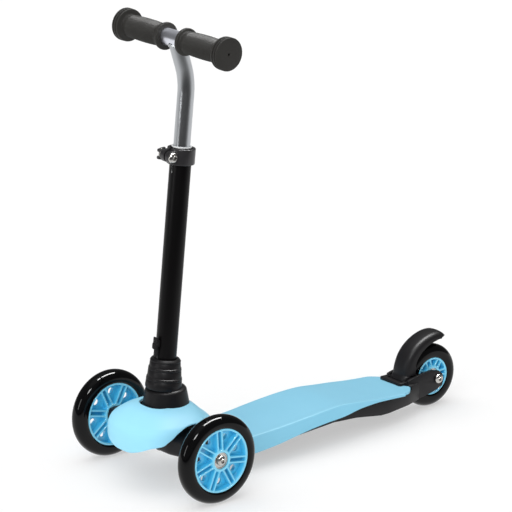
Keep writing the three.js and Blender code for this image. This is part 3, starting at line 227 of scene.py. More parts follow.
def superellipse(a: float, b: float, power: float, count: int) -> list[Flat]:
    """Round box outline: half sizes a and b, squarer as the power rises."""
    angles = [2 * math.pi * i / count for i in range(count)]

    def bend(value: float) -> float:
        """Signed root that squares the outline."""
        return math.copysign(abs(value) ** (2 / power), value)

    return [(a * bend(math.cos(t)), b * bend(math.sin(t))) for t in angles]


def both_sides(half: Sequence[Flat]) -> list[Flat]:
    """Half an outline and its mirror image; the half's last point is on the middle line."""
    return [*half, *[(-across, up) for across, up in reversed(half[:-1])]]


def hexagon(turn: float) -> float:
    """Reach of a hexagon at an angle, as a share of its corners' reach."""
    slant = (turn + math.pi / 6) % (math.pi / 3) - math.pi / 6
    return math.cos(math.pi / 6) / math.cos(slant)


class Draft:
    """Points and faces of a piece while it is drawn, in the millimetres of its own plane."""

    def __init__(self) -> None:
        """Starts with nothing drawn."""
        self.points: list[Point] = []
        self.faces: list[tuple[int, ...]] = []

    def grid(self, rows: Sequence, wrap_rows: bool = False, wrap_columns: bool = True,
             caps: bool = False) -> "Draft":
        """Adds a skin through rows of points.

        Args:
            rows: rows with equal numbers of points.
            wrap_rows: whether the last row joins the first.
            wrap_columns: whether each row closes on itself.
            caps: whether the first and last rows are filled.

        Returns:
            This draft.
        """
        table = np.asarray(rows, float)
        count, wide = table.shape[:2]
        start = len(self.points)
        self.points.extend(tuple(point) for point in table.reshape(-1, 3))
        for i in range(count if wrap_rows else count - 1):
            for j in range(wide if wrap_columns else wide - 1):
                here, beside = i * wide + j, i * wide + (j + 1) % wide
                above = ((i + 1) % count) * wide
                self.faces.append((start + here, start + beside,
                                   start + above + (j + 1) % wide, start + above + j))
        if caps:
            self.faces.append(tuple(range(start + wide - 1, start - 1, -1)))
            self.faces.append(tuple(range(start + (count - 1) * wide, start + count * wide)))
        return self

    def turned(self, profile: Sequence[Flat], axis: Axis, segments: int = 96, closed: bool = True,
               shift: Point = ORIGIN) -> "Draft":
        """Adds a body turned from a profile of (radius, place along the axis).

        Args:
            profile: closed outline, or a line that starts and ends on the axis.
            axis: the axis that it is turned round.
            segments: facets round a full turn.
            closed: whether the profile closes on itself.
            shift: where the axis' zero lies.

        Returns:
            This draft.
        """
        turns = np.arange(segments) * 2 * math.pi / segments
        rows = []
        for radius, along in profile:
            cos, sin = radius * np.cos(turns), radius * np.sin(turns)
            place = np.full(segments, along)
            ring = (place, cos, sin) if axis is Axis.X else (cos, sin, place)
            rows.append(np.stack(ring, axis=1) + np.array(shift))
        return self.grid(rows, wrap_rows=closed)

    def rod(self, radius: float, low: float, high: float, axis: Axis, segments: int = 48,
            shift: Point = ORIGIN, edge: float = 0.0) -> "Draft":
        """Adds a round bar.

        Args:
            radius: its radius.
            low: where it starts along the axis.
            high: where it ends.
            axis: the axis that it lies along.
            segments: facets round it.
            shift: where the axis' zero lies.
            edge: size of the rounds on its two edges.

        Returns:
            This draft.
        """
        profile = rounded([(0, low), (radius, low), (radius, high), (0, high)], edge, closed=False)
        return self.turned(profile, axis, segments, closed=False, shift=shift)

    def ring(self, inner: float, outer: float, low: float, high: float, axis: Axis, edge: float = 0.4,
             segments: int = 64, shift: Point = ORIGIN) -> "Draft":
        """Adds a washer or a tube.

        Args:
            inner: its inner radius.
            outer: its outer radius.
            low: where it starts along the axis.
            high: where it ends.
            axis: the axis that it lies round.
            edge: size of the rounds on its four edges.
            segments: facets round it.
            shift: where the axis' zero lies.

        Returns:
            This draft.
        """
        profile = rounded([(inner, low), (outer, low), (outer, high), (inner, high)], edge)
        return self.turned(profile, axis, segments, shift=shift)

    def slab(self, outline: Sequence[Flat], low: float, high: float, axis: Axis) -> "Draft":
        """Adds a plate: a (y, z) outline across X or an (x, y) outline up Z, between two places."""
        if axis is Axis.X:
            rows = [[(place, y, z) for y, z in outline] for place in (low, high)]
        else:
            rows = [[(x, y, place) for x, y in outline] for place in (low, high)]
        return self.grid(rows, caps=True)

    def block(self, low: Point, high: Point) -> "Draft":
        """Adds a box between two corners, a cutting tool or a piece that is bevelled later."""
        outline = [(low[0], low[1]), (high[0], low[1]), (high[0], high[1]), (low[0], high[1])]
        return self.slab(outline, low[2], high[2], Axis.Z)

    def mesh(self, place: Matrix) -> bpy.types.Mesh:
        """Mesh of the draft in metres, with its faces pointing out.

        Args:
            place: the draft's plane in the part's frame, in millimetres.

        Returns:
            The mesh.
        """
        made = bpy.data.meshes.new("draft")
        made.from_pydata([(place @ Vector(point)) * MM for point in self.points], [], self.faces)
        heal(made)
        return made


def heal(mesh: bpy.types.Mesh, dissolve: float = 0.0) -> None:
    """Merges doubles and turns the faces outwards.

    Args:
        mesh: the mesh to mend.
        dissolve: flat faces that meet under this angle become one.
    """
    work = bmesh.new()
    work.from_mesh(mesh)
    bmesh.ops.remove_doubles(work, verts=work.verts, dist=2e-6)
    bmesh.ops.dissolve_degenerate(work, edges=work.edges, dist=1e-7)
    if dissolve:
        bmesh.ops.dissolve_limit(work, angle_limit=dissolve, verts=work.verts, edges=work.edges)
    bmesh.ops.recalc_face_normals(work, faces=work.faces)
    work.to_mesh(mesh)
    work.free()


def bake(item: bpy.types.Object) -> None:
    """Turns an object's live modifiers into its plain mesh."""
    view = bpy.context.evaluated_depsgraph_get()
    made = bpy.data.meshes.new_from_object(item.evaluated_get(view))
    item.modifiers.clear()
    item.data = made


def loose(name: str, mesh: bpy.types.Mesh) -> bpy.types.Object:
    """Object of a mesh, linked to the scene."""
    item = bpy.data.objects.new(name, mesh)
    bpy.context.scene.collection.objects.link(item)
    return item


def part(name: str, draft: Draft, place: Matrix) -> bpy.types.Object:
    """Object of a draft, set in its plane."""
    return loose(name, draft.mesh(place))


# Finishes

@dataclass(frozen=True)
class Finish:
    """One real material and how its surface was made."""

    name: str
    colour: str
    shade: str
    roughness: float
    spread: float = 0.05
    metallic: float = 0.0
    ior: float = 1.5
    coat: float = 0.0
    coat_roughness: float = 0.05
    specular: float = 0.5
    grain_mm: float = 1.2
    depth_mm: float = 0.02
    cloud_mm: float = 45.0
    grain: Grain = Grain.EVEN

    def stretch(self) -> Point:
        """How the grain is drawn out along each axis."""
        drawn = {Grain.EVEN: (1, 1, 1), Grain.DRAWN_Z: (1, 1, 0.02), Grain.DRAWN_X: (0.02, 1, 1)}
        return drawn[self.grain]

    def base_colour(self, tree: bpy.types.NodeTree, place: bpy.types.NodeSocket) -> bpy.types.NodeSocket:
        """Slow colour variation between the finish's two tones."""
        cloud = node(tree, "ShaderNodeTexNoise", {"Vector": place, "Scale": 1 / (self.cloud_mm * MM),
                                                  "Detail": 3.0})
        tones = node(tree, "ShaderNodeMix", {"Factor": cloud.outputs["Fac"], "A": linear(self.shade),
                                             "B": linear(self.colour)}, data_type="RGBA")
        return tones.outputs["Result"]

    def height(self, tree: bpy.types.NodeTree, place: bpy.types.NodeSocket) -> bpy.types.NodeSocket:
        """Height of the fine grain."""
        spread = node(tree, "ShaderNodeMapping", {"Vector": place, "Scale": self.stretch()})
        fine = node(tree, "ShaderNodeTexNoise", {"Vector": spread.outputs["Vector"], "Detail": 4.0,
                                                 "Scale": 1 / (self.grain_mm * MM)})
        return fine.outputs["Fac"]

    def build(self) -> bpy.types.Material:
        """Node material of this finish."""
        made = bpy.data.materials.new(self.name)
        made.use_nodes = True
        tree = made.node_tree
        shader = tree.nodes["Principled BSDF"]
        place = node(tree, "ShaderNodeTexCoord").outputs["Object"]
        height = self.height(tree, place)
        tree.links.new(self.base_colour(tree, place), shader.inputs["Base Color"])
        gloss = node(tree, "ShaderNodeMapRange", {"Value": height, "To Min": self.roughness - self.spread,
                                                  "To Max": self.roughness + self.spread})
        tree.links.new(gloss.outputs["Result"], shader.inputs["Roughness"])
        bump = node(tree, "ShaderNodeBump", {"Height": height, "Strength": 1.0,
                                             "Distance": self.depth_mm * MM})
        tree.links.new(bump.outputs["Normal"], shader.inputs["Normal"])
        for socket, value in (("Metallic", self.metallic), ("IOR", self.ior),
                              ("Specular IOR Level", self.specular), ("Coat Weight", self.coat),
                              ("Coat Roughness", self.coat_roughness)):
            shader.inputs[socket].default_value = value
        return made


@dataclass(frozen=True)
class HubFinish(Finish):
    """Tinted moulding: pale on its faces, with a deeper blue painted as shade down in its pockets."""

    # Colour of the painted shade down in the pockets
    pocket_shade: str = "#50C6EE"
    plane: float = 0.116  # metres from the scooter's middle to the wheel's
    face: float = 0.0108  # metres from the wheel's middle to the pale faces
    floor: float = 0.0078  # and to where the painted pocket shade starts

    def base_colour(self, tree: bpy.types.NodeTree, place: bpy.types.NodeSocket) -> bpy.types.NodeSocket:
        """Colour by how deep in the wheel a place lies, with painted shade deeper in."""
        tones = super().base_colour(tree, place)
        across = node(tree, "ShaderNodeSeparateXYZ", {"Vector": place}).outputs["X"]
        side = node(tree, "ShaderNodeMath", {0: across}, operation="ABSOLUTE").outputs["Value"]
        offset = node(tree, "ShaderNodeMath", {0: side, 1: self.plane}, operation="SUBTRACT")
        depth = node(tree, "ShaderNodeMath", {0: offset.outputs["Value"]}, operation="ABSOLUTE")
        share = node(tree, "ShaderNodeMapRange", {"Value": depth.outputs["Value"],
                                                  "From Min": self.floor, "From Max": self.face})
        # Painted shade: towards the wheel's middle plane the colour turns to the pockets' deeper blue
        mix = node(tree, "ShaderNodeMix", {"Factor": share.outputs["Result"], "A": linear(self.pocket_shade),
                                           "B": tones}, data_type="RGBA")
        return mix.outputs["Result"]


@dataclass(frozen=True)
class GripFinish(Finish):
    """Soft rubber with rows of small raised beads round the hand's part."""

    bead_mm: float = 2.3
    unevenness: float = 0.2
    bead_height: float = 0.6  # as a share of the grain's

    def height(self, tree: bpy.types.NodeTree, place: bpy.types.NodeSocket) -> bpy.types.NodeSocket:
        """Height of the beads over the fine grain."""
        fine = super().height(tree, place)
        beads = node(tree, "ShaderNodeTexVoronoi", {"Vector": place, "Scale": 1 / (self.bead_mm * MM),
                                                    "Randomness": self.unevenness})
        soft = node(tree, "ShaderNodeMath", {0: beads.outputs["Distance"], 1: self.bead_height},
                    operation="MULTIPLY")
        both = node(tree, "ShaderNodeMath", {0: fine, 1: soft.outputs["Value"]}, operation="SUBTRACT")
        return both.outputs["Value"]


# Hood: polypropylene, mould polished to a satin gloss; a soft sheen with no grain that shows
HOOD = Finish("moulded_polypropylene_satin", "#A2E3FB", "#9BDEF8", 0.44, 0.03, grain_mm=0.9, depth_mm=0.004,
              specular=0.08)
# Deck: polypropylene with a fine spark-eroded grain; matt, and a shade deeper than the hood
DECK = Finish("moulded_polypropylene_grained", "#8CD1EC", "#85CCE8", 0.52, 0.05, grain_mm=0.8, depth_mm=0.03,
              specular=0.35)
# Front hubs: tinted polycarbonate, polished; glossy, with painted shade: a deeper blue down in the pockets
HUB_FRONT = HubFinish("tinted_polycarbonate_front", "#84DAF8", "#78D3F5", 0.18, 0.04, coat=0.4,
                      grain_mm=2.5, depth_mm=0.01)
# Rear hub: the same tinted polycarbonate
HUB_REAR = replace(HUB_FRONT, name="tinted_polycarbonate_rear", plane=0.0)
# Tyres: cast polyurethane, black and wet looking
TYRE = Finish("cast_polyurethane_black", "#060607", "#09090A", 0.07, 0.02, grain_mm=3.0, depth_mm=0.003,
              ior=1.52, specular=0.18)
# Frame, fender and beam: glass-filled nylon with a fine moulded grain; dull charcoal
FRAME = Finish("moulded_nylon_charcoal", "#1B1A1C", "#151416", 0.42, 0.07, grain_mm=0.7, depth_mm=0.03,
               specular=0.2)
# Boot, collar and release button: the same nylon, a little darker than the frame's
BOOT = Finish("moulded_nylon_boot", "#161517", "#121113", 0.42, 0.06, grain_mm=0.8, depth_mm=0.02,
              specular=0.2)
# Column: steel tube, black powder coat; smooth with a faint orange peel
COLUMN_COAT = Finish("powder_coat_black", "#0A090A", "#080708", 0.34, 0.05, grain_mm=1.8, depth_mm=0.012,
                     specular=0.12)
# Clamp: die-cast aluminium under black paint
CLAMP_PAINT = Finish("painted_casting_black", "#2B2A2C", "#252426", 0.3, 0.06, grain_mm=1.0,
                     depth_mm=0.015, specular=0.45)
# Latch leaf, brake pin and brake spring: spring steel, blackened
LEAF = Finish("blackened_spring_steel", "#1A1A1C", "#141416", 0.4, 0.05, grain_mm=0.8, depth_mm=0.006)
# T-bar: drawn aluminium tube, brushed along its length and clear anodised
BAR_TUBE = Finish("anodised_tube_upright", "#BABDC0", "#AEB1B4", 0.3, 0.05, metallic=1.0, grain_mm=0.5,
                  depth_mm=0.004, grain=Grain.DRAWN_Z)
# Crossbar: the same tube lying across
BAR_CROSS = Finish("anodised_tube_across", "#E8EAF2", "#DADCE6", 0.32, 0.05, metallic=1.0, grain_mm=0.5,
                   depth_mm=0.004, grain=Grain.DRAWN_X)
# Bolts, nuts, bearings, washers and screws: zinc-plated steel; bright with slight clouds
STEEL = Finish("zinc_plated_steel", "#C9CACA", "#B9B4AC", 0.22, 0.06, metallic=1.0, grain_mm=0.9,
               depth_mm=0.006, cloud_mm=4.0)
# Grips: thermoplastic rubber; dull charcoal with rows of beads, drawn coarser than life to show
GRIP = GripFinish("moulded_rubber_grip", "#383735", "#302F2D", 0.46, 0.06, grain_mm=0.8, depth_mm=0.3,
                  specular=0.12)
# Bushings: urethane rubber
RUBBER = Finish("moulded_rubber_bushing", "#1E1E1F", "#19191A", 0.62, 0.06, grain_mm=0.9, depth_mm=0.02)
# Sleeve: unfilled nylon, natural white and slightly waxy
SLEEVE = Finish("natural_nylon_white", "#F0F2F2", "#E8EAEB", 0.4, 0.05, grain_mm=1.5, depth_mm=0.01)


@dataclass
class Workshop:
    """Makes finished pieces: gives them their mesh, finish and body."""

    finishes: dict[str, bpy.types.Material] = field(default_factory=dict)

    def material(self, finish: Finish) -> bpy.types.Material:
        """Node material of a finish, made once."""
        if finish.name not in self.finishes:
            self.finishes[finish.name] = finish.build()
        return self.finishes[finish.name]

    def cut(self, item: bpy.types.Object, place: Matrix, *drafts: Draft) -> None:
        """Cuts drafts of one plane out of a piece."""
        self.combine(item, [part("tool", draft, place) for draft in drafts], "DIFFERENCE")

    def combine(self, item: bpy.types.Object, tools: Sequence[bpy.types.Object],
                operation: str = "UNION") -> None:
        """Joins tools to a piece or cuts them out of it, and removes the tools.

        Args:
            item: the piece.
            tools: the other objects.
            operation: UNION or DIFFERENCE.
        """
        for tool in tools:
            step = item.modifiers.new("combine", "BOOLEAN")
            step.object = tool
            step.operation = operation
            step.solver = "EXACT"
        bake(item)
        for tool in tools:
            bpy.data.objects.remove(tool)
        heal(item.data)

    def bevel(self, item: bpy.types.Object, width: float, segments: int = 2, angle: float = 35) -> None:
        """Rounds a piece's sharp edges.

        Args:
            item: the piece.
            width: width of the round, in millimetres.
            segments: spans across it.
            angle: edges sharper than this many degrees are rounded.
        """
        step = item.modifiers.new("bevel", "BEVEL")
        step.width = width * MM
        step.segments = segments
        step.limit_method = "ANGLE"
        step.angle_limit = math.radians(angle)
        step.use_clamp_overlap = True
        bake(item)

    def thicken(self, item: bpy.types.Object, thickness: float, even: bool) -> None:
        """Turns an open skin so that most of it faces up, and gives it a wall below.

        Args:
            item: the piece.
            thickness: thickness of the wall, in millimetres.
            even: whether the wall keeps its thickness round corners.
        """
        if sum(face.normal.z * face.area for face in item.data.polygons) < 0:
            item.data.flip_normals()
        step = item.modifiers.new("wall", "SOLIDIFY")
        step.thickness = thickness * MM
        step.offset = -1
        step.use_even_offset = even
        bake(item)

    def finish(self, item: bpy.types.Object, finish: Finish, body: str, slot: str,
               sharp: float = 34, nodes: Sequence[str] = ()) -> None:
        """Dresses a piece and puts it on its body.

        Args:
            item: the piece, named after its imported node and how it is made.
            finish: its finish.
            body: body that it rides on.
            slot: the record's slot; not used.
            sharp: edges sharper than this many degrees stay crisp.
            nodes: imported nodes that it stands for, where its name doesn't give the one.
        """
        item.data.materials.clear()
        item.data.materials.append(self.material(finish))
        item.data.name = item.name
        for face in item.data.polygons:
            face.use_smooth = True
            face.material_index = 0
        item.data.set_sharp_from_angle(angle=math.radians(sharp))
        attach(item, body)
        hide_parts(*(nodes or [item.name.rsplit("_", 1)[0]]))
        LOG.info("%s: %d faces on %s", item.name, len(item.data.polygons), body)

    def piece(self, name: str, draft: Draft, place: Matrix, finish: Finish, body: str, slot: str,
              bevel: float = 0.0, sharp: float = 34) -> None:
        """Makes a finished piece straight from a draft.

        Args:
            name: name of the piece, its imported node's and how it is made.
            draft: its shape.
            place: the draft's plane.
            finish: its finish.
            body: body that it rides on.
            slot: the record's slot.
            bevel: width of the rounds on its edges, in millimetres.
            sharp: edges sharper than this many degrees stay crisp.
        """
        item = part(name, draft, place)
        if bevel:
            self.bevel(item, bevel)
        self.finish(item, finish, body, slot, sharp)

    def dress(self, name: str, finish: Finish) -> None:
        """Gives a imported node, kept as it is, its finish."""
        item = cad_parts[name]
        for slot in item.material_slots:
            slot.material = self.material(finish)
        LOG.info("%s: kept, finish %s", name, finish.name)


# Geometry-node recipes

class Recipe:
    """A geometry-node tree with named inputs, used through a modifier that is then baked."""

    def __init__(self, name: str, inputs: dict[str, str]) -> None:
        """Starts the tree.

        Args:
            name: name of the tree.
            inputs: socket type by input name.
        """
        self.tree = bpy.data.node_groups.new(name, "GeometryNodeTree")
        sockets = self.tree.interface
        sockets.new_socket("Geometry", in_out="INPUT", socket_type="NodeSocketGeometry")
        self.keys = {key: sockets.new_socket(key, in_out="INPUT", socket_type=kind).identifier
                     for key, kind in {**inputs, "Finish": "NodeSocketMaterial"}.items()}
        sockets.new_socket("Geometry", in_out="OUTPUT", socket_type="NodeSocketGeometry")
        self.given = node(self.tree, "NodeGroupInput").outputs
        self.wire()

    def wire(self) -> None:
        """Adds the recipe's own nodes and ends with close."""
        raise NotImplementedError

    def close(self, shape: bpy.types.NodeSocket) -> None:
        """Ends the tree with Realize Instances and Set Material."""
        real = node(self.tree, "GeometryNodeRealizeInstances", {"Geometry": shape})
        dressed = node(self.tree, "GeometryNodeSetMaterial",
                       {"Geometry": real.outputs[0], "Material": self.given["Finish"]})
        node(self.tree, "NodeGroupOutput", {"Geometry": dressed.outputs[0]})

    def make(self, name: str, values: dict[str, object], material: bpy.types.Material,
             base: bpy.types.Mesh | None = None) -> bpy.types.Object:
        """Runs the tree and bakes the result.

        Args:
            name: name of the piece.
            values: value by input name.
            material: finish that the tree sets.
            base: mesh that the tree starts from, where it needs one.

        Returns:
            An object with a plain mesh.
        """
        item = loose(name, base or bpy.data.meshes.new("base"))
        step = item.modifiers.new(self.tree.name, "NODES")
        step.node_group = self.tree
        for key, value in {**values, "Finish": material}.items():
            step[self.keys[key]] = value
        bake(item)
        return item


class Star(Recipe):
    """Copies of a shape in even turns round the X axis, such as a wheel's blades."""

    def __init__(self) -> None:
        """Tree with the shape, how many times and the first turn."""
        super().__init__("star_round_axle", {"Shape": "NodeSocketObject", "Count": "NodeSocketInt",
                                             "Phase": "NodeSocketFloat", "Centre": "NodeSocketVector"})

    def wire(self) -> None:
        """Points at the centre, each turned a share further."""
        given = self.given
        points = node(self.tree, "GeometryNodePoints", {"Count": given["Count"],
                                                        "Position": given["Centre"]})
        index = node(self.tree, "GeometryNodeInputIndex").outputs[0]
        share = node(self.tree, "ShaderNodeMath", {0: index, 1: given["Count"]}, operation="DIVIDE")
        turn = node(self.tree, "ShaderNodeMath", {0: share.outputs[0], 1: 2 * math.pi, 2: given["Phase"]},
                    operation="MULTIPLY_ADD")
        spin = node(self.tree, "ShaderNodeCombineXYZ", {"X": turn.outputs[0]})
        shape = node(self.tree, "GeometryNodeObjectInfo", {"Object": given["Shape"]})
        placed = node(self.tree, "GeometryNodeInstanceOnPoints",
                      {"Points": points.outputs[0], "Instance": shape.outputs["Geometry"],
                       "Rotation": spin.outputs[0]})
        self.close(placed.outputs[0])


class Tube(Recipe):
    """Round bar that follows the base mesh's line."""

    def __init__(self) -> None:
        """Tree with the bar's radius and its facets."""
        super().__init__("bar_on_path", {"Radius": "NodeSocketFloat", "Facets": "NodeSocketInt"})

    def wire(self) -> None:
        """The line becomes a curve and carries a circle."""
        given = self.given
        path = node(self.tree, "GeometryNodeMeshToCurve", {"Mesh": given["Geometry"]})
        ring = node(self.tree, "GeometryNodeCurvePrimitiveCircle", {"Resolution": given["Facets"],
                                                                    "Radius": given["Radius"]})
        bar = node(self.tree, "GeometryNodeCurveToMesh",
                   {"Curve": path.outputs[0], "Profile Curve": ring.outputs[0], "Fill Caps": True})
        self.close(bar.outputs[0])


class Coil(Recipe):
    """Wound wire: a spiral of round wire along the height."""

    def __init__(self) -> None:
        """Tree with the coil's sizes and its place."""
        super().__init__("wound_wire", {"Turns": "NodeSocketFloat", "Radius": "NodeSocketFloat",
                                        "Length": "NodeSocketFloat", "Wire": "NodeSocketFloat",
                                        "Place": "NodeSocketVector", "Turn": "NodeSocketVector"})

    def wire(self) -> None:
        """A spiral carries a circle and is moved to its place."""
        given = self.given
        line = node(self.tree, "GeometryNodeCurveSpiral",
                    {"Resolution": 28, "Rotations": given["Turns"], "Start Radius": given["Radius"],
                     "End Radius": given["Radius"], "Height": given["Length"]})
        ring = node(self.tree, "GeometryNodeCurvePrimitiveCircle", {"Resolution": 12,
                                                                    "Radius": given["Wire"]})
        wire = node(self.tree, "GeometryNodeCurveToMesh",
                    {"Curve": line.outputs[0], "Profile Curve": ring.outputs[0], "Fill Caps": True})
        moved = node(self.tree, "GeometryNodeTransform",
                     {"Geometry": wire.outputs[0], "Translation": given["Place"],
                      "Rotation": given["Turn"]})
        self.close(moved.outputs[0])


class Scatter(Recipe):
    """One shape at each point of the base mesh, such as screws in their seats."""

    def __init__(self) -> None:
        """Tree with the shape."""
        super().__init__("shape_at_points", {"Shape": "NodeSocketObject"})

    def wire(self) -> None:
        """The base mesh's points carry the shape."""
        given = self.given
        points = node(self.tree, "GeometryNodeMeshToPoints", {"Mesh": given["Geometry"]})
        shape = node(self.tree, "GeometryNodeObjectInfo", {"Object": given["Shape"]})
        placed = node(self.tree, "GeometryNodeInstanceOnPoints",
                      {"Points": points.outputs[0], "Instance": shape.outputs["Geometry"]})
        self.close(placed.outputs[0])


def line_mesh(points: Sequence[Vector], closed: bool = False) -> bpy.types.Mesh:
    """Mesh of a line through points, in metres."""
    made = bpy.data.meshes.new("line")
    count = len(points)
    edges = [(i, (i + 1) % count) for i in range(count if closed else count - 1)]
    made.from_pydata(points, edges, [])
    return made


def merge(items: Sequence[bpy.types.Object]) -> bpy.types.Object:
    """Joins objects into the first one."""
    first = items[0]
    work = bmesh.new()
    for item in items:
        work.from_mesh(item.data)
    work.to_mesh(first.data)
    work.free()
    for item in items[1:]:
        bpy.data.objects.remove(item)
    return first


# Turned hardware

@dataclass(frozen=True)
class Bolt:
    """Button-head bolt with a hexagon socket; its seat is at zero and its head lies up the X axis."""

    shank_radius: float = 4.0
    shank_length: float = 54.0
    head_radius: float = 6.7
    head_height: float = 4.0
    socket_radius: float = 2.6
    socket_depth: float = 2.2
    segments: int = 48

    def draft(self) -> Draft:
        """The bolt's mesh, a skin from the tip of its shank to the floor of its socket."""
        r, h = self.head_radius, self.head_height
        dome = [(r * math.cos(a), h * (0.28 + 0.72 * math.sin(a)))
                for a in (math.radians(step) for step in (4, 14, 26, 38, 50, 62))]
        line = [(0, -self.shank_length), (self.shank_radius - 0.5, -self.shank_length),
                (self.shank_radius, 0.5 - self.shank_length), (self.shank_radius, 0), (r - 0.3, 0), (r, 0.3),
                *dome, (self.socket_radius * 1.12, h), (self.socket_radius, h - 0.35),
                (self.socket_radius, h - self.socket_depth), (0, h - self.socket_depth - 0.5)]
        hexagonal = len(line) - 3
        rows = []
        for i, (radius, along) in enumerate(line):
            row = []
            for k in range(self.segments):
                turn = 2 * math.pi * k / self.segments
                reach = radius * (hexagon(turn) if i >= hexagonal else 1)
                row.append((along, reach * math.cos(turn), reach * math.sin(turn)))
            rows.append(row)
        return Draft().grid(rows)


@dataclass(frozen=True)
class Nut:
    """Hexagon nut round the X axis, its corners chamfered and its bore open."""

    low: float
    high: float
    radius: float = 7.5
    bore: float = 4.3
    chamfer: float = 0.8
    lead: float = 0.5
    segments: int = 48

    def draft(self) -> Draft:
        """The nut's mesh, a skin over its faces and back through its bore."""
        low, high, crown = self.low, self.high, 0.88 * self.radius
        mouth = self.bore + self.lead
        rows = []
        for reach, along in ((crown, low), (self.radius, low + self.chamfer),
                             (self.radius, high - self.chamfer), (crown, high), (mouth, high),
                             (self.bore, high - self.lead), (self.bore, low + self.lead), (mouth, low)):
            row = []
            for k in range(self.segments):
                turn = 2 * math.pi * k / self.segments
                size = min(reach, self.radius * hexagon(turn))
                row.append((along, size * math.cos(turn), size * math.sin(turn)))
            rows.append(row)
        return Draft().grid(rows, wrap_rows=True)


def spacer(low: float, high: float) -> Draft:
    """Spacer on an axle bolt, between two places along X."""
    return Draft().ring(4.3, 7.5, low, high, Axis.X)


@dataclass
class Wheel:
    """One wheel: tyre, tinted hub with paired blades, two bearings and the sleeve between them."""

    place: str
    centre: Vector
    radius: float
    rim: float
    phase: float
    finish: Finish
    pairs: int = 7
    tyre_half: float = 12.0
    hub_half: float = 11.0
    crown: float = 12.6
    core: float = 14.6
    seat: float = 11.3
    shoulder: float = 9.3
    pitch: float = 7.3
    thickness: float = 2.3
    wall: float = 3.0
    bore: float = 4.3
    bearing: Flat = (2.5, 9.5)  # inner and outer end, from the wheel's middle
    squareness: float = 2.25

    def plane(self) -> Matrix:
        """The wheel's own plane: its axle along X."""
        return Matrix.Translation(self.centre)

    def tyre(self) -> Draft:
        """Round glossy crown over short straight sides that tuck in at the rim."""
        crown = []
        for i in range(25):
            angle = math.pi * (i / 24 - 0.5)
            lift = abs(math.cos(angle)) ** (2 / self.squareness)
            reach = math.copysign(abs(math.sin(angle)) ** (2 / self.squareness), angle)
            crown.append((self.radius - self.crown + self.crown * lift, self.tyre_half * reach))
        foot = self.rim + 0.2
        edge = self.hub_half + 0.1
        side = [(foot, -edge + 0.6), (foot + 0.5, -edge), (foot + 1.8, -self.tyre_half + 0.35)]
        mirrored = [(r, -x) for r, x in reversed(side)]
        return Draft().turned([*side, *crown, *mirrored], Axis.X, 144)

    def rim_and_core(self) -> Draft:
        """The hub's outer band and its middle, round the bearings."""
        half = self.hub_half
        band = [(self.rim - self.wall + 0.3, -half), (self.rim, -half), (self.rim, half),
                (self.rim - self.wall + 0.3, half), (self.rim - self.wall - 0.9, 0)]
        ledge = 2.2
        middle = [(self.seat, -half), (self.core, -half), (self.core + 0.5, 0), (self.core, half),
                  (self.seat, half), (self.seat, ledge), (self.shoulder, ledge),
                  (self.shoulder, -ledge), (self.seat, -ledge)]
        draft = Draft().turned(rounded(band, 0.8), Axis.X, 120)
        return draft.turned(rounded(middle, 0.6), Axis.X, 96)

    def blade_pair(self) -> bpy.types.Object:
        """Two blades on edge, the floor between them and the root that joins them at the core."""
        start, end = self.core - 1.4, self.rim - self.wall / 2
        half = self.hub_half - 0.7
        pair = Draft()
        for side in (-1, 1):
            low = side * self.pitch / 2 - self.thickness / 2
            high = low + self.thickness
            rows = []
            for along, flare in ((start, 0.5), (start + 4, 0.0), (end - 4, 0.0), (end, 0.7)):
                section = rounded([(-half, low - flare), (half, low - flare), (half, high + flare),
                                   (-half, high + flare)], 0.7)
                rows.append([(x, along, z) for x, z in section])
            pair.grid(rows, caps=True)
        edge = self.pitch / 2
        root = half - 1.2
        pair.slab([(start, -edge), (start + 3.4, -edge), (start + 2.2, 0), (start + 3.4, edge),
                   (start, edge)], -root, root, Axis.X)
        return part("blade_pair", pair, Matrix.Identity(4))

    def web(self, shop: Workshop) -> bpy.types.Object:
        """Disc in the wheel's middle plane with a round hole in each field between the blades."""
        disc = Draft().ring(self.core - 1.0, self.rim - self.wall / 2, -1.5, 1.5, Axis.X, 0, 120)
        item = part("web", disc, self.plane())
        gap = self.rim - self.wall - self.core
        reach, size = self.core + 0.63 * gap, 0.17 * gap
        turns = [self.phase + (k + 0.5) / self.pairs * 2 * math.pi for k in range(self.pairs)]
        shop.cut(item, self.plane(), *[
            Draft().rod(size, -4, 4, Axis.X, 40, (0, reach * math.cos(turn), reach * math.sin(turn)))
            for turn in turns])
        shop.bevel(item, 0.4)
        return item

    def races(self, side: int) -> Draft:
        """Ball bearing with a recessed shield between its races."""
        low, high = self.bearing
        outer, shield = self.seat - 0.3, high - 0.7
        profile = [(self.bore, low), (outer, low), (outer, high), (9.5, high), (9.3, shield),
                   (6.5, shield), (6.3, high), (self.bore, high)]
        return Draft().turned([(r, side * x) for r, x in rounded(profile, 0.25, steps=2)], Axis.X, 64)

    def build(self, shop: Workshop, star: Star) -> None:
        """Makes the wheel's pieces.

        Args:
            shop: the workshop.
            star: recipe that sets the blades round the axle.
        """
        body = f"wheel_{self.place}"
        plane = self.plane()
        shop.piece(f"tyre_{self.place}_cast", self.tyre(), plane, TYRE, body, "tyre")
        pair = self.blade_pair()
        values = {"Shape": pair, "Count": self.pairs, "Phase": self.phase,
                  "Centre": [value * MM for value in self.centre]}
        blades = star.make("blades", values, shop.material(self.finish))
        bpy.data.objects.remove(pair)
        hub = part(f"hub_{self.place}_moulded", self.rim_and_core(), plane)
        shop.finish(merge([hub, blades, self.web(shop)]), self.finish, body, "hub")
        for side, label in ((1, "a"), (-1, "b")):
            shop.piece(f"bearing_{self.place}_{label}_races", self.races(side), plane, STEEL, body, "steel")
        sleeve = Draft().ring(self.bore, 6.1, -2.2, 2.2, Axis.X, 0.2)
        shop.piece(f"sleeve_{self.place}_turned", sleeve, plane, STEEL, body, "steel")


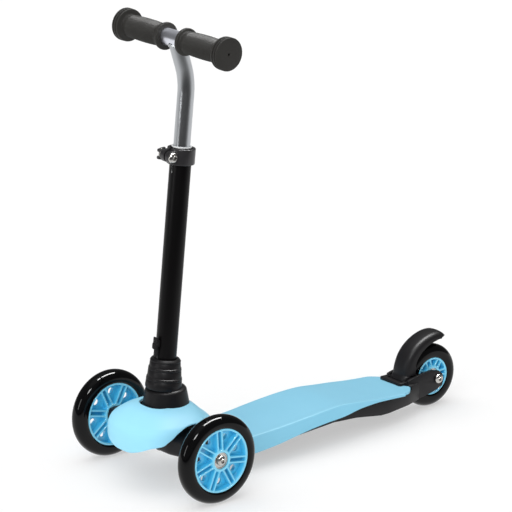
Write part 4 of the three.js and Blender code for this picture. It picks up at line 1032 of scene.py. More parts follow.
@dataclass
class Truck:
    """Steering truck: moulded beam on the inclined kingpin, with the axle bolts at its ends."""

    beam_end: float = 102.9
    seat: float = 125.8
    nut: Flat = (72.2, 78.6)
    spacer: Flat = (103.2, 106.2)
    boss: float = 19.0
    boss_half: float = 11.0
    bore: float = 5.2
    room_above: float = 32.5  # radius of the space for the upper bushing and its washer
    room_below: float = 19.3
    room_end: float = 60.0
    # Share of the beam's half length, and how far it has swollen there
    stations: tuple = ((1, 0), (0.84, 0.05), (0.62, 0.3), (0.36, 1), (0.18, 1))
    end_depth: float = 24.0
    end_height: float = 24.0
    middle_depth: float = 42.0
    middle_height: float = 30.0
    middle_z: float = 61.0

    def beam(self) -> Draft:
        """Beam that swells from its ends to its middle."""
        half = [(-reach, swell) for reach, swell in self.stations]
        line = smooth([*half, *[(-x, s) for x, s in reversed(half)]], 5)
        rows = []
        for reach, swell in line:
            share = min(max(swell, 0.0), 1.0)
            depth = self.end_depth + share * (self.middle_depth - self.end_depth)
            height = self.end_height + share * (self.middle_height - self.end_height)
            lift = FRONT_AXLE.z + share * (self.middle_z - FRONT_AXLE.z)
            rows.append([(reach * self.beam_end, y, z + lift)
                         for y, z in superellipse(depth / 2, height / 2, 5, 56)])
        return Draft().grid(rows, caps=True)

    def build(self, shop: Workshop) -> None:
        """Makes the beam and the bolt, nut and spacer at each of its ends."""
        beam = part("truck_beam_moulded", self.beam(), GROUND)
        half = self.boss_half
        shop.cut(beam, KINGPIN, Draft().rod(self.room_above, half, self.room_end, Axis.Z, 64),
                 Draft().rod(self.room_below, -self.room_end, -half, Axis.Z, 64))
        shop.cut(beam, KINGPIN, Draft().rod(self.bore, -14, 14, Axis.Z))
        shop.bevel(beam, 1.2, 3)
        boss = Draft().ring(self.bore + 0.1, self.boss, -half, half, Axis.Z, 1.0, 72)
        shop.finish(merge([beam, part("boss", boss, KINGPIN)]), FRAME, "truck", "frame")
        for side, label in SIDES:
            plane = Matrix.Translation(Vector((0, FRONT_AXLE.y, FRONT_AXLE.z)))
            plane = plane @ (Matrix.Identity(4) if side > 0 else Matrix.Rotation(math.pi, 4, "Z"))
            for name, draft, place in (
                (f"axle_bolt_{label}_head", Bolt().draft(), plane @ Matrix.Translation((self.seat, 0, 0))),
                (f"axle_nut_{label}_hex", Nut(*self.nut).draft(), plane),
                (f"spacer_{label}_turned", spacer(*self.spacer), plane),
            ):
                shop.piece(f"front_{name}", draft, place, STEEL, "truck", "steel")


@dataclass
class Kingpin:
    """Kingpin stack: bolt, nut, washers and rubber bushings, all carried by the frame."""

    bushing: float = 14.0
    bore: float = 5.3

    def build(self, shop: Workshop) -> None:
        """Makes the stack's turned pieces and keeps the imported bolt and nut."""
        for name, low, high, finish, slot, edge in (
            ("steering_bushing_upper", 11.3, 17.3, RUBBER, "bushing", 1.4),
            ("steering_bushing_lower", -17.3, -11.3, RUBBER, "bushing", 1.4),
            ("kingpin_washer_upper", 17.6, 18.8, STEEL, "steel", 0.3),
            ("kingpin_washer_lower", -18.8, -17.6, STEEL, "steel", 0.3),
        ):
            draft = Draft().ring(self.bore, self.bushing, low, high, Axis.Z, edge)
            shop.piece(f"{name}_round", draft, KINGPIN, finish, "chassis", slot)
        for name in ("kingpin", "kingpin_nut"):
            shop.dress(name, STEEL)


@dataclass
class Hood:
    """Satin hood over the truck, with arched sides and a round opening for the collar."""

    half_width: float = 69.0
    front: float = 66.4
    rear: float = 86.0
    bottom: float = 47.2
    top: float = 107.0
    wall: float = 2.6
    power: float = 2.6
    opening: float = 31.5
    opening_y: float = 6.61
    columns: int = 240
    rows: int = 44
    # Share of the height, then the width and the reach ahead and behind at it as shares of the largest
    levels: tuple = ((0, 0.965, 0.985, 0.99), (0.066, 0.975, 0.99, 0.975), (0.233, 0.98, 1, 0.91),
                     (0.414, 0.975, 1, 0.81), (0.574, 0.965, 0.97, 0.7), (0.7, 0.91, 0.9, 0.62),
                     (0.798, 0.8, 0.8, 0.54), (0.893, 0.67, 0.68, 0.475), (0.962, 0.53, 0.56, 0.42),
                     (1, 0.4, 0.43, 0.36))
    # Lower edge of the sides: place along as a share of the rear reach, and share of the height
    arch: tuple = ((-0.85, 0.075), (-0.79, 0.083), (-0.765, 0.12), (-0.73, 0.2), (-0.64, 0.315),
                   (-0.49, 0.383), (-0.43, 0.449), (-0.35, 0.533), (-0.25, 0.636), (-0.06, 0.729),
                   (0.16, 0.729), (0.34, 0.608), (0.46, 0.383), (0.55, 0.02))
    post_place: Flat = (14.0, 46.5)
    post: tuple = (2.5, 4.5, 78.3, 90.0)  # inner and outer radius, low and high end

    def surface(self, angle: float, shares: np.ndarray) -> np.ndarray:
        """Points of the outer skin at one angle and several height shares."""
        width, ahead, behind = (curve_of(self.levels, column)(shares) for column in (1, 2, 3))
        cos, sin = math.cos(angle), math.sin(angle)
        bend = 2 / self.power
        x = width * self.half_width * math.copysign(abs(cos) ** bend, cos)
        reach = ahead * self.front if sin < 0 else behind * self.rear
        y = reach * math.copysign(abs(sin) ** bend, sin)
        return np.stack([x, y, self.bottom + shares * (self.top - self.bottom)], axis=1)

    def skin(self) -> np.ndarray:
        """Outer skin from the opening down to the arched edge, a column at each angle."""
        height = self.top - self.bottom
        edge = np.array(smooth([(reach * self.rear, self.bottom + share * height)
                                for reach, share in self.arch], 6))
        samples = np.linspace(1, 0, 400)
        skin = np.zeros((self.rows, self.columns, 3))
        for j in range(self.columns):
            angle = 2 * math.pi * j / self.columns
            line = self.surface(angle, samples)
            away = np.hypot(line[:, 0], line[:, 1] - self.opening_y)
            first = int(np.argmax(away >= self.opening))
            low = np.interp(line[:, 1], edge[:, 0], edge[:, 1], right=self.bottom + 0.6)
            below = np.nonzero(line[first:, 2] < low[first:])[0]
            last = first + int(below[0]) if len(below) else len(samples) - 1
            part = line[first:last + 1]
            along = np.concatenate([[0], np.cumsum(np.linalg.norm(np.diff(part, axis=0), axis=1))])
            wanted = np.linspace(0, along[-1], self.rows)
            skin[:, j] = np.stack([np.interp(wanted, along, part[:, k]) for k in range(3)], axis=1)
        return skin

    def build(self, shop: Workshop) -> None:
        """Makes the hood with the two screw posts under it."""
        draft = Draft().grid(wall_of(self.skin(), self.wall), wrap_rows=True)
        item = part("front_cover_moulded", draft, GROUND)
        posts = Draft()
        across, along = self.post_place
        for side in (-1, 1):
            posts.ring(*self.post, Axis.Z, 0.4, 40, (side * across, along, 0))
        shop.finish(merge([item, part("posts", posts, GROUND)]), HOOD, "chassis", "hood", 50)


def wall_of(skin: np.ndarray, thickness: float, draw: float = 0.45) -> np.ndarray:
    """Rows of a wall of even thickness inside a skin whose rows close on themselves.

    Args:
        skin: outer skin, row by row.
        thickness: thickness of the wall.
        draw: how far a lip stands out, as a share of half the wall.

    Returns:
        Rows round the wall: outer skin, lip, inner skin and lip.
    """
    down = np.gradient(skin, axis=0)
    round_ = (np.roll(skin, -1, axis=1) - np.roll(skin, 1, axis=1)) / 2
    normal = np.cross(round_, down)
    normal /= np.linalg.norm(normal, axis=2, keepdims=True)
    middle = skin.reshape(-1, 3).mean(axis=0)
    if ((skin - middle) * normal).sum() < 0:
        normal = -normal
    half = thickness / 2

    def lip(row: int, outwards: np.ndarray) -> list[np.ndarray]:
        """Round edge from the outer skin to the inner one."""
        ahead = outwards / np.linalg.norm(outwards, axis=1, keepdims=True)
        centre = skin[row] - normal[row] * half
        return [centre + half * (math.cos(t) * normal[row] + draw * math.sin(t) * ahead)
                for t in (math.radians(a) for a in (30, 60, 90, 120, 150))]

    inner = skin - normal * thickness
    bottom = lip(-1, skin[-1] - skin[-2])
    top = lip(0, skin[0] - skin[1])
    return np.array([*skin, *bottom, *inner[::-1], *reversed(top)])


@dataclass
class Boot:
    """Stepped boot round the column's socket and the cone-shaped collar under it."""

    rim: float = 19.4
    foot: float = 66.5
    top: float = 107.0
    bore: float = 14.7
    socket_bore: float = 18.5
    socket_top: float = 92.3
    tiers: tuple = ((68.0, 24.5), (82.2, 22.7), (95.5, 20.9))  # foot and radius of each
    taper: float = 0.075
    # Height and radius up the collar
    collar_levels: tuple = ((94.3, 32.6), (108, 30.4), (121.5, 27.9), (124.6, 26.9), (126.6, 24.6),
                            (127.3, 20.5))
    collar_wall: float = 3.0
    collar_mouth: float = 18.6
    collar_lip: Flat = (127.3, 124.2)  # its lip's top and underside
    collar_back: Flat = (7.3, 3.0)  # how far back the cone stands at its foot, and how much less on top
    slot_low: Point = (-2.8, -16.0, 60.0)
    slot_high: Point = (2.8, -8.0, 112.0)

    def boot(self) -> Draft:
        """Turned boot: three tiers, each with a shallow bead at its top, and a round rim."""
        outer: list[Flat] = [(self.tiers[0][1] - 0.7, self.foot)]
        ends = [along for along, _ in self.tiers[1:]] + [self.top]
        for (along, radius), end in zip(self.tiers, ends):
            upper = radius - (end - along) * self.taper
            low = max(along, self.foot + 0.8)
            outer += [(radius, low), (upper + 0.35, end - 4.8), (upper - 0.05, end - 4.3),
                      (upper + 0.45, end - 3.5), (upper + 0.45, end - 2.7), (upper + 0.05, end - 2.1),
                      (upper, end - 0.6)]
        outer[-1] = (self.rim, self.top - 1.2)
        outer.append((self.rim - 1.1, self.top))
        inner = [(self.bore + 0.9, self.top), (self.bore, self.top - 0.9), (self.bore, self.socket_top),
                 (self.socket_bore, self.socket_top), (self.socket_bore, self.foot)]
        return Draft().turned([*outer, *inner], Axis.Z, 128)

    def collar(self) -> Draft:
        """Cone whose middle runs up beside the leaning column."""
        inner = [(radius - self.collar_wall, along - (0 if along < 120 else self.collar_wall))
                 for along, radius in reversed(self.collar_levels[:4])]
        profile = [*[(radius, along) for along, radius in smooth(self.collar_levels, 5)],
                   *[(self.collar_mouth, along) for along in self.collar_lip], *inner]
        foot, top = self.collar_levels[0][0], 124.0
        at_foot, less = self.collar_back
        rows = []
        for radius, along in profile:
            share = (along - foot) / (top - foot)
            backset = (at_foot - less * share) * min(max((radius - 19) / 5.6, 0), 1)
            middle = FOOT_Y + (along - FRONT_AXLE.z) * math.tan(COLUMN_LEAN) + backset
            rows.append([(x, y + middle, along) for x, y in superellipse(radius, radius, 2, 120)])
        return Draft().grid(rows, wrap_rows=True)

    def build(self, shop: Workshop) -> None:
        """Makes the boot, with the latch's slot in its rim, and the collar."""
        boot = part("stem_boot_moulded", self.boot(), COLUMN)
        shop.cut(boot, COLUMN, Draft().block(self.slot_low, self.slot_high))
        shop.finish(boot, BOOT, "chassis", "frame", 40)
        shop.piece("stem_collar_moulded", self.collar(), GROUND, BOOT, "chassis", "frame", sharp=50)


@dataclass
class Column:
    """Coated steel column with its height sleeve and latch leaf."""

    radius: float = 14.3
    wall: float = 1.5
    low: float = 46.0
    high: float = 390.0
    slit: Point = (1.2, 32.0, 1.9)  # half its width, its length and the radius of its round end
    cut_y: Flat = (-20.0, -6.0)  # the tools reach from in front of the tube into its bore
    window: Flat = (3.5, 4.8)  # half its width and half its height
    button: float = 128.0  # height of the window's middle
    sleeve: Point = (11.4, 12.5, 13.4)  # radius of its bore, of its wall and of its flange
    sleeve_length: float = 56.0
    flange: Flat = (0.3, 1.9)  # the flange's underside and top, above the column's end
    leaf_low: Point = (-2.5, -15.1, 80.9)
    leaf_high: Point = (2.5, -14.5, 122.9)

    def build(self, shop: Workshop) -> None:
        """Makes the column's pieces."""
        tube = Draft().ring(self.radius - self.wall, self.radius, self.low, self.high, Axis.Z, 0.4, 112)
        item = part("lower_column_tube", tube, COLUMN)
        near, far = self.cut_y
        half, length, round_end = self.slit
        slit = Draft().block((-half, near, self.high - length), (half, far, self.high + 8))
        circle = [2 * math.pi * k / 24 for k in range(24)]
        end = Draft().grid([[(round_end * math.cos(t), y, self.high - length + round_end * math.sin(t))
                             for t in circle] for y in (near, far)], caps=True)
        width, height = self.window
        window = Draft().block((-width, near, self.button - height), (width, far, self.button + height))
        shop.cut(item, COLUMN, slit, end, window)
        shop.finish(item, COLUMN_COAT, "column", "column")
        bore, wall, rim = self.sleeve
        foot, (seat, cap) = self.high - self.sleeve_length, [self.high + up for up in self.flange]
        flange = rounded([(bore, foot), (wall, foot), (wall, seat), (rim, seat), (rim, cap), (bore, cap)],
                         0.4)
        shop.piece("height_sleeve_moulded", Draft().turned(flange, Axis.Z), COLUMN, SLEEVE, "column",
                   "sleeve")
        shop.piece("latch_leaf_strip", Draft().block(self.leaf_low, self.leaf_high), COLUMN, LEAF, "column",
                   "steel", bevel=0.25)


@dataclass
class Button:
    """Release button: a stepped cap with ridges, a tongue below it and a stem through the window."""

    middle: float = Column.button
    half_width: float = 5.0
    half_length: float = 8.5
    face: float = 21.2
    back: float = 17.7
    ridges: int = 7
    pitch: float = 2.1
    ridge: Flat = (0.55, 1.6)  # half its width and its depth

    def build(self, shop: Workshop) -> None:
        """Makes the button."""
        half, middle, face, back = self.half_width, self.middle, self.face, self.back
        foot, top = middle - self.half_length, middle + self.half_length
        blocks = (  # upper cap, lower step, stem and tongue, each with its bevel
            ((-half + 0.4, -face + 1.6, foot), (half - 0.4, -back, top), 1.0),
            ((-half, -face + 0.6, foot + 0.8), (half, -back, middle + 0.6), 1.3),
            ((-3.2, -back - 0.5, middle - 4.5), (3.2, -7, middle + 4.5), 0.4),
            ((-2.6, -back - 1.3, foot - 9.5), (2.6, -back + 0.4, foot + 1.5), 0.6),
        )
        parts = []
        for low, high, bevel in blocks:
            parts.append(part("release_button_moulded", Draft().block(low, high), COLUMN))
            shop.bevel(parts[-1], bevel, 3)
        rows = Draft()
        width, depth = self.ridge
        for i in range(self.ridges):
            up = foot + 2.2 + i * self.pitch
            proud = face if up < middle else face - 1.1
            rows.block((-half + 0.9, -proud, up - width), (half - 0.9, -proud + depth, up + width))
        parts.append(part("ridges", rows, COLUMN))
        shop.bevel(parts[-1], 0.4)
        shop.finish(merge(parts), BOOT, "release_button", "clamp")


@dataclass
class Clamp:
    """Quick clamp: split ring with two ears, its bolt, the barrel and the curved lever."""

    ring: float = 18.6
    bore: float = 14.6
    half: float = 10.7
    ear_out: float = 9.5
    bolt_y: float = -21.5
    slit: float = 1.5
    head: float = 7.0
    bolt_hole: float = 3.3
    barrel_x: float = -15.0
    barrel: float = 3.2
    fork: float = 5.2
    fork_low: float = 2.9
    fork_high: float = 6.7
    bite: float = 6.3
    yoke: int = 8  # points of the arm's line that it takes in
    arm: float = 26.0
    arm_half: float = 4.25
    arm_thickness: float = 3.6
    arm_pull: float = 6.8
    arm_start: float = math.radians(228)
    arm_sweep: float = math.radians(136)

    def collar(self, shop: Workshop) -> bpy.types.Object:
        """Ring with round-nosed ears and the slit between them."""
        ring = Draft().ring(self.bore, self.ring, -self.half, self.half, Axis.Z, 1.2, 96)
        item = part("clamp_collar_cast", ring, CLAMP)
        nose = [(self.bolt_y + 6 * math.cos(t), 7.8 * math.sin(t))
                for t in (math.radians(90 + 15 * k) for k in range(13))]
        outline = [(-6, 8.6), *nose, (-6, -8.6)]
        ears = part("ears", Draft().slab(outline, -self.ear_out, self.ear_out, Axis.X), CLAMP)
        shop.bevel(ears, 0.9, 3, 50)
        shop.combine(item, [ears])
        bolt = (0, self.bolt_y, 0)
        shop.cut(item, CLAMP, Draft().rod(self.bore, -20, 20, Axis.Z, 96),
                 Draft().block((-self.slit, -40, -20), (self.slit, 0, 20)),
                 Draft().rod(self.bolt_hole, -20, 20, Axis.X, 40, bolt),
                 Draft().rod(self.head + 0.3, self.ear_out, 30, Axis.X, 64, bolt))
        return item

    def arc(self, radius: float) -> list[Flat]:
        """Line of the lever's arm round the column, about the barrel."""
        line = []
        for k in range(33):
            turned = k / 32 * self.arm_sweep
            reach = radius - self.arm_pull * math.sin(turned / 2)
            angle = self.arm_start - turned
            line.append((reach * math.cos(angle), reach * math.sin(angle)))
        return line

    def lever(self, shop: Workshop) -> bpy.types.Object:
        """Fork with two round-nosed plates, the yoke behind them and the curved arm."""
        outer, inner = self.arc(self.arm + self.arm_thickness), self.arc(self.arm)
        parts = []
        for name, count, half, bevel, spans in (("clamp_lever_cast", len(outer), self.arm_half, 1.3, 3),
                                                ("yoke", self.yoke, self.fork_high, 1.0, 2)):
            slab = Draft().slab([*outer[:count], *reversed(inner[:count])], -half, half, Axis.Z)
            parts.append(part(name, slab, CLAMP))
            shop.bevel(parts[-1], bevel, spans)
        place = (self.barrel_x, self.bolt_y, 0)
        for low, high in ((self.fork_low, self.fork_high), (-self.fork_high, -self.fork_low)):
            parts.append(part("fork", Draft().rod(self.fork, low, high, Axis.Z, 48, place, 1.5), CLAMP))
        item = parts[0]
        shop.combine(item, parts[1:])
        shop.cut(item, CLAMP, Draft().rod(self.barrel + 0.3, -14, 14, Axis.Z, 40, place),
                 Draft().rod(self.bite, -self.fork_low, self.fork_low, Axis.Z, 48, place))
        return item

    def build(self, shop: Workshop) -> None:
        """Makes the clamp's pieces."""
        shop.finish(self.collar(shop), CLAMP_PAINT, "column", "clamp")
        shop.finish(self.lever(shop), CLAMP_PAINT, "clamp_lever", "clamp")
        bolt = Bolt(shank_radius=2.5, shank_length=21.2, head_radius=self.head, head_height=5.0,
                    socket_radius=2.9, socket_depth=2.4)
        seat = CLAMP @ Matrix.Translation((self.ear_out + 0.3, self.bolt_y, 0))
        shop.piece("clamp_bolt_head", bolt.draft(), seat, STEEL, "column", "steel")
        barrel = Draft().rod(self.barrel, -7, 7, Axis.Z, 48, (self.barrel_x, self.bolt_y, 0), 0.8)
        shop.piece("clamp_barrel_turned", barrel, CLAMP, STEEL, "column", "steel")


@dataclass
class HandleBar:
    """T-bar: bent upright tube, crossbar welded on it and two rubber grips."""

    radius: float = 11.1
    bend: float = math.radians(23.1)
    bend_radius: float = 95.0
    low: float = 262.0
    cross: float = 533.0
    ahead: float = 22.7
    half: float = 104.0
    grip_inner: float = 19.0
    grip_end: float = 110.0
    ribs: int = 28
    rib: float = 0.42
    disc: float = 21.8
    groove: float = 18.4

    def upright(self) -> list[Vector]:
        """Middle line of the upright tube, in metres."""
        tangent = self.bend_radius * math.tan(self.bend / 2)
        vertex = self.cross - self.ahead / math.tan(self.bend)
        line = [(0, self.low)]
        for k in range(21):
            angle = k / 20 * self.bend
            line.append((-self.bend_radius * (1 - math.cos(angle)),
                         vertex - tangent + self.bend_radius * math.sin(angle)))
        line.append((-self.ahead, self.cross))
        return [(COLUMN @ Vector((0, y, z))) * MM for y, z in line]

    def weld(self) -> list[Vector]:
        """Line where the upright meets the crossbar, in metres."""
        along = Vector((0, -math.sin(self.bend), math.cos(self.bend)))
        across = Vector((0, math.cos(self.bend), math.sin(self.bend)))
        centre = Vector((0, -self.ahead, self.cross))
        line = []
        for k in range(72):
            turn = 2 * math.pi * k / 72
            side = self.radius * math.cos(turn)
            drop = math.hypot(side, 2.0)
            line.append((COLUMN @ (centre + Vector((side, 0, 0)) + across * self.radius * math.sin(turn)
                                   - along * drop)) * MM)
        return line

    def grip(self, side: int) -> Draft:
        """Grip: inner flange, ribbed belly, grooved double flange and an end with a vent."""
        inner, end, disc, groove = self.grip_inner, self.grip_end, self.disc, self.groove
        body, outer = inner + 5, end - 12.2
        barrel = []
        for k in range(self.ribs * 4 + 1):
            share = k / (self.ribs * 4)
            belly = 14.0 + 1.5 * math.sin(math.pi * share) ** 0.8
            ease = min(1.0, 8 * share, 8 * (1 - share))
            rib = self.rib * ease * math.cos(2 * math.pi * self.ribs * share)
            barrel.append((belly + rib, body + 1.2 + share * (outer - body - 2.4)))
        profile = [
            (11.4, inner), *rounded([(16.2, inner), (18.2, inner + 0.6), (18.2, body - 0.9), (16.6, body)],
                                    1.2, closed=False),
            (15.3, body + 0.2), (14.5, body + 0.8), *barrel, (14.6, outer - 0.8), (15.6, outer - 0.2),
            *rounded([(17.0, outer), (disc - 0.4, outer + 0.5), (disc, outer + 3.2), (groove, outer + 3.6),
                      (groove, outer + 5.0), (disc, outer + 5.4), (disc, outer + 7.8), (groove, outer + 8.2),
                      (groove, outer + 9.4), (disc, outer + 9.8), (disc, end - 0.9),
                      (disc - 2.2, end - 0.1)], 0.7, closed=False),
            (12, end), (2.4, end), (1.6, end - 0.6), (1.6, end - 5.6), (11.4, end - 5.6),
        ]
        return Draft().turned([(r, side * x) for r, x in profile], Axis.X, 112)

    def build(self, shop: Workshop, tube: Tube) -> None:
        """Makes the T-bar's pieces.

        Args:
            shop: the workshop.
            tube: recipe that draws a bar on a line.
        """
        sizes = {"Radius": self.radius * MM, "Facets": 96}
        steel = shop.material(BAR_TUBE)
        upright = tube.make("upper_stem_tube", sizes, steel, line_mesh(self.upright()))
        bead = tube.make("weld", {"Radius": 1.3 * MM, "Facets": 14}, steel,
                         line_mesh(self.weld(), closed=True))
        shop.finish(merge([upright, bead]), BAR_TUBE, "t_bar", "bar", 60)
        centre = COLUMN @ Vector((0, -self.ahead, self.cross))
        ends = [Vector((side * self.half, centre.y, centre.z)) * MM for side in (-1, 1)]
        cross = tube.make("crossbar_tube", sizes, shop.material(BAR_CROSS), line_mesh(ends))
        shop.finish(cross, BAR_CROSS, "t_bar", "bar", 60)
        for side, label in SIDES:
            shop.piece(f"grip_{label}_rubber", self.grip(side), Matrix.Translation((0, centre.y, centre.z)),
                       GRIP, "t_bar", "grip")


@dataclass
class Deck:
    """Deck: one moulding with a crowned top, side flanges, round rear lobes and a scoop between them."""

    front: float = 70.0
    rear: float = 411.0
    half_width: float = 50.0
    flange: float = 57.0
    crest: float = 56.0
    thickness: float = 3.0
    crown: float = 1.0
    corner: float = 24.0
    scoop: float = 19.0
    scoop_depth: float = 8.0
    lobe_half: float = 45.0
    rows: int = 150
    # Share of the length, then at it: ridge, half width, flange's reach and flange's foot, as shares
    stations: tuple = ((0, 0.791, 0.93, 0.93, 0.43), (0.117, 0.809, 0.94, 0.96, 0.42),
                       (0.235, 0.848, 0.966, 0.985, 0.49), (0.323, 0.895, 0.99, 0.99, 0.575),
                       (0.411, 0.941, 0.996, 0.99, 0.655), (0.499, 0.979, 0.984, 0.975, 0.7),
                       (0.587, 0.996, 0.954, 0.95, 0.727), (0.675, 0.946, 0.942, 0.91, 0.795),
                       (0.762, 0.895, 0.942, 0.868, 0.81), (0.821, 0.861, 0.912, 0.83, 0.79),
                       (0.91, 0.825, 0.885, 0.8, 0.757), (1, 0.8, 0.87, 0.785, 0.73))

    def rear_edge(self) -> Callable[[np.ndarray], np.ndarray]:
        """How far back the deck reaches at a distance from its middle."""
        half = self.lobe_half
        side = self.rear - self.corner
        lobe = self.scoop + self.corner * 0.3
        floor = self.rear - self.scoop_depth
        corner = bezier((half, side), (half - 1.2, side + 9.6), (half - 12, self.rear - 2.4),
                        (lobe, self.rear))
        dip = bezier((lobe, self.rear), (self.scoop, self.rear), (self.scoop, floor),
                     (self.scoop * 0.4, floor))
        line = np.array([*corner, *dip[1:], (0, floor)])[::-1]
        return lambda x: np.interp(np.abs(x), line[:, 0], line[:, 1])

    def section(self, y: float) -> list[Flat]:
        """Half of the cross-section at one place: foot of the flange, edge, and the crowned top."""
        share = (y - self.front) / (self.rear - self.front)
        sizes = (self.crest, self.half_width, self.flange, self.crest)
        ridge, half, reach, foot = (float(curve_of(self.stations, column)(share)) * size
                                    for column, size in enumerate(sizes, 1))
        reach = max(reach, half + 1.5)
        foot = min(foot, ridge - 3.2)
        side = [(reach, foot), ((2 * reach + half + 1.5) / 3, foot + (ridge - foot) / 3),
                (half + 1.9, ridge - 2.4)]
        edge = rounded([side[-1], (half + 0.7, ridge + 0.1), (half - 3.5, ridge + 0.25)], 2.4, closed=False,
                       steps=5)
        top = [(half * t, ridge + self.crown * (1 - t * t)) for t in np.linspace(0.9, 0, 16)]
        return [side[0], side[1], *edge, *top]

    def skin(self) -> np.ndarray:
        """Top skin, row by row from the front, each row from the left flange's foot to the right's."""
        edge = self.rear_edge()
        across = np.abs(np.array(both_sides(self.section(self.rear - 1)))[:, 0])
        stops = np.where(across > self.lobe_half - 1.6, self.rear - self.corner, edge(across))
        tables = {}
        rows = []
        for share in np.linspace(0, 1, self.rows):
            row = []
            for j, stop in enumerate(stops):
                y = self.front + share * (stop - self.front)
                key = round(float(y), 3)
                if key not in tables:
                    tables[key] = both_sides(self.section(key))
                x, z = tables[key][j]
                row.append((x, y, z))
            rows.append(row)
        return np.array(rows)

    def build(self, shop: Workshop) -> None:
        """Makes the deck."""
        draft = Draft().grid(self.skin(), wrap_columns=False)
        item = part("deck_top_moulded", draft, GROUND)
        shop.thicken(item, self.thickness, True)
        shop.bevel(item, 0.9, 3, 50)
        bosses = Draft()
        for screw in DECK_SCREWS:
            middle = middle_of(screw)
            x, y = middle.x, middle.y - FRONT_AXLE.y
            top = self.section(y)[-1][1]
            bosses.ring(2.5, 4.5, top - 13, top - 2.4, Axis.Z, 0.3, 32, (x, y, 0))
        shop.finish(merge([item, part("bosses", bosses, GROUND)]), DECK, "chassis", "deck", 40)


@dataclass
class Chassis:
    """Frame under the deck, as packed but with its edges rounded and a shoulder round the fender's foot."""

    edge: float = 0.9
    shoulder: Flat = (399.0, 422.0)  # front and rear
    shoulder_x: Flat = (-24.0, 19.0)
    shoulder_z: Flat = (42.0, 50.2)
    shoulder_corner: Flat = (3.0, 1.5)
    mouth_half: float = 17.1
    mouth_depth: float = 8.0

    def saddle(self) -> Draft:
        """Flat shoulder behind the deck, open at the back for the fender's foot."""
        (front, rear), (low, high), mouth = self.shoulder, self.shoulder_x, self.mouth_half
        (across, along), floor = self.shoulder_corner, front + self.mouth_depth
        outline = [(low, front + along), (low + across, front), (high - across, front),
                   (high, front + along), (high, rear), (mouth, rear), (mouth, floor), (-mouth, floor),
                   (-mouth, rear), (low, rear)]
        return Draft().slab(outline, *self.shoulder_z, Axis.Z)

    def build(self, shop: Workshop) -> None:
        """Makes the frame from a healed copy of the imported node."""
        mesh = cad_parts["chassis_frame"].data.copy()
        heal(mesh, math.radians(1.5))
        item = loose("chassis_frame_moulded", mesh)
        shop.bevel(item, self.edge, 2, 28)
        saddle = part("saddle", self.saddle(), GROUND)
        shop.bevel(saddle, 1.4, 3, 28)
        shop.finish(merge([item, saddle]), FRAME, "chassis", "frame", 40)


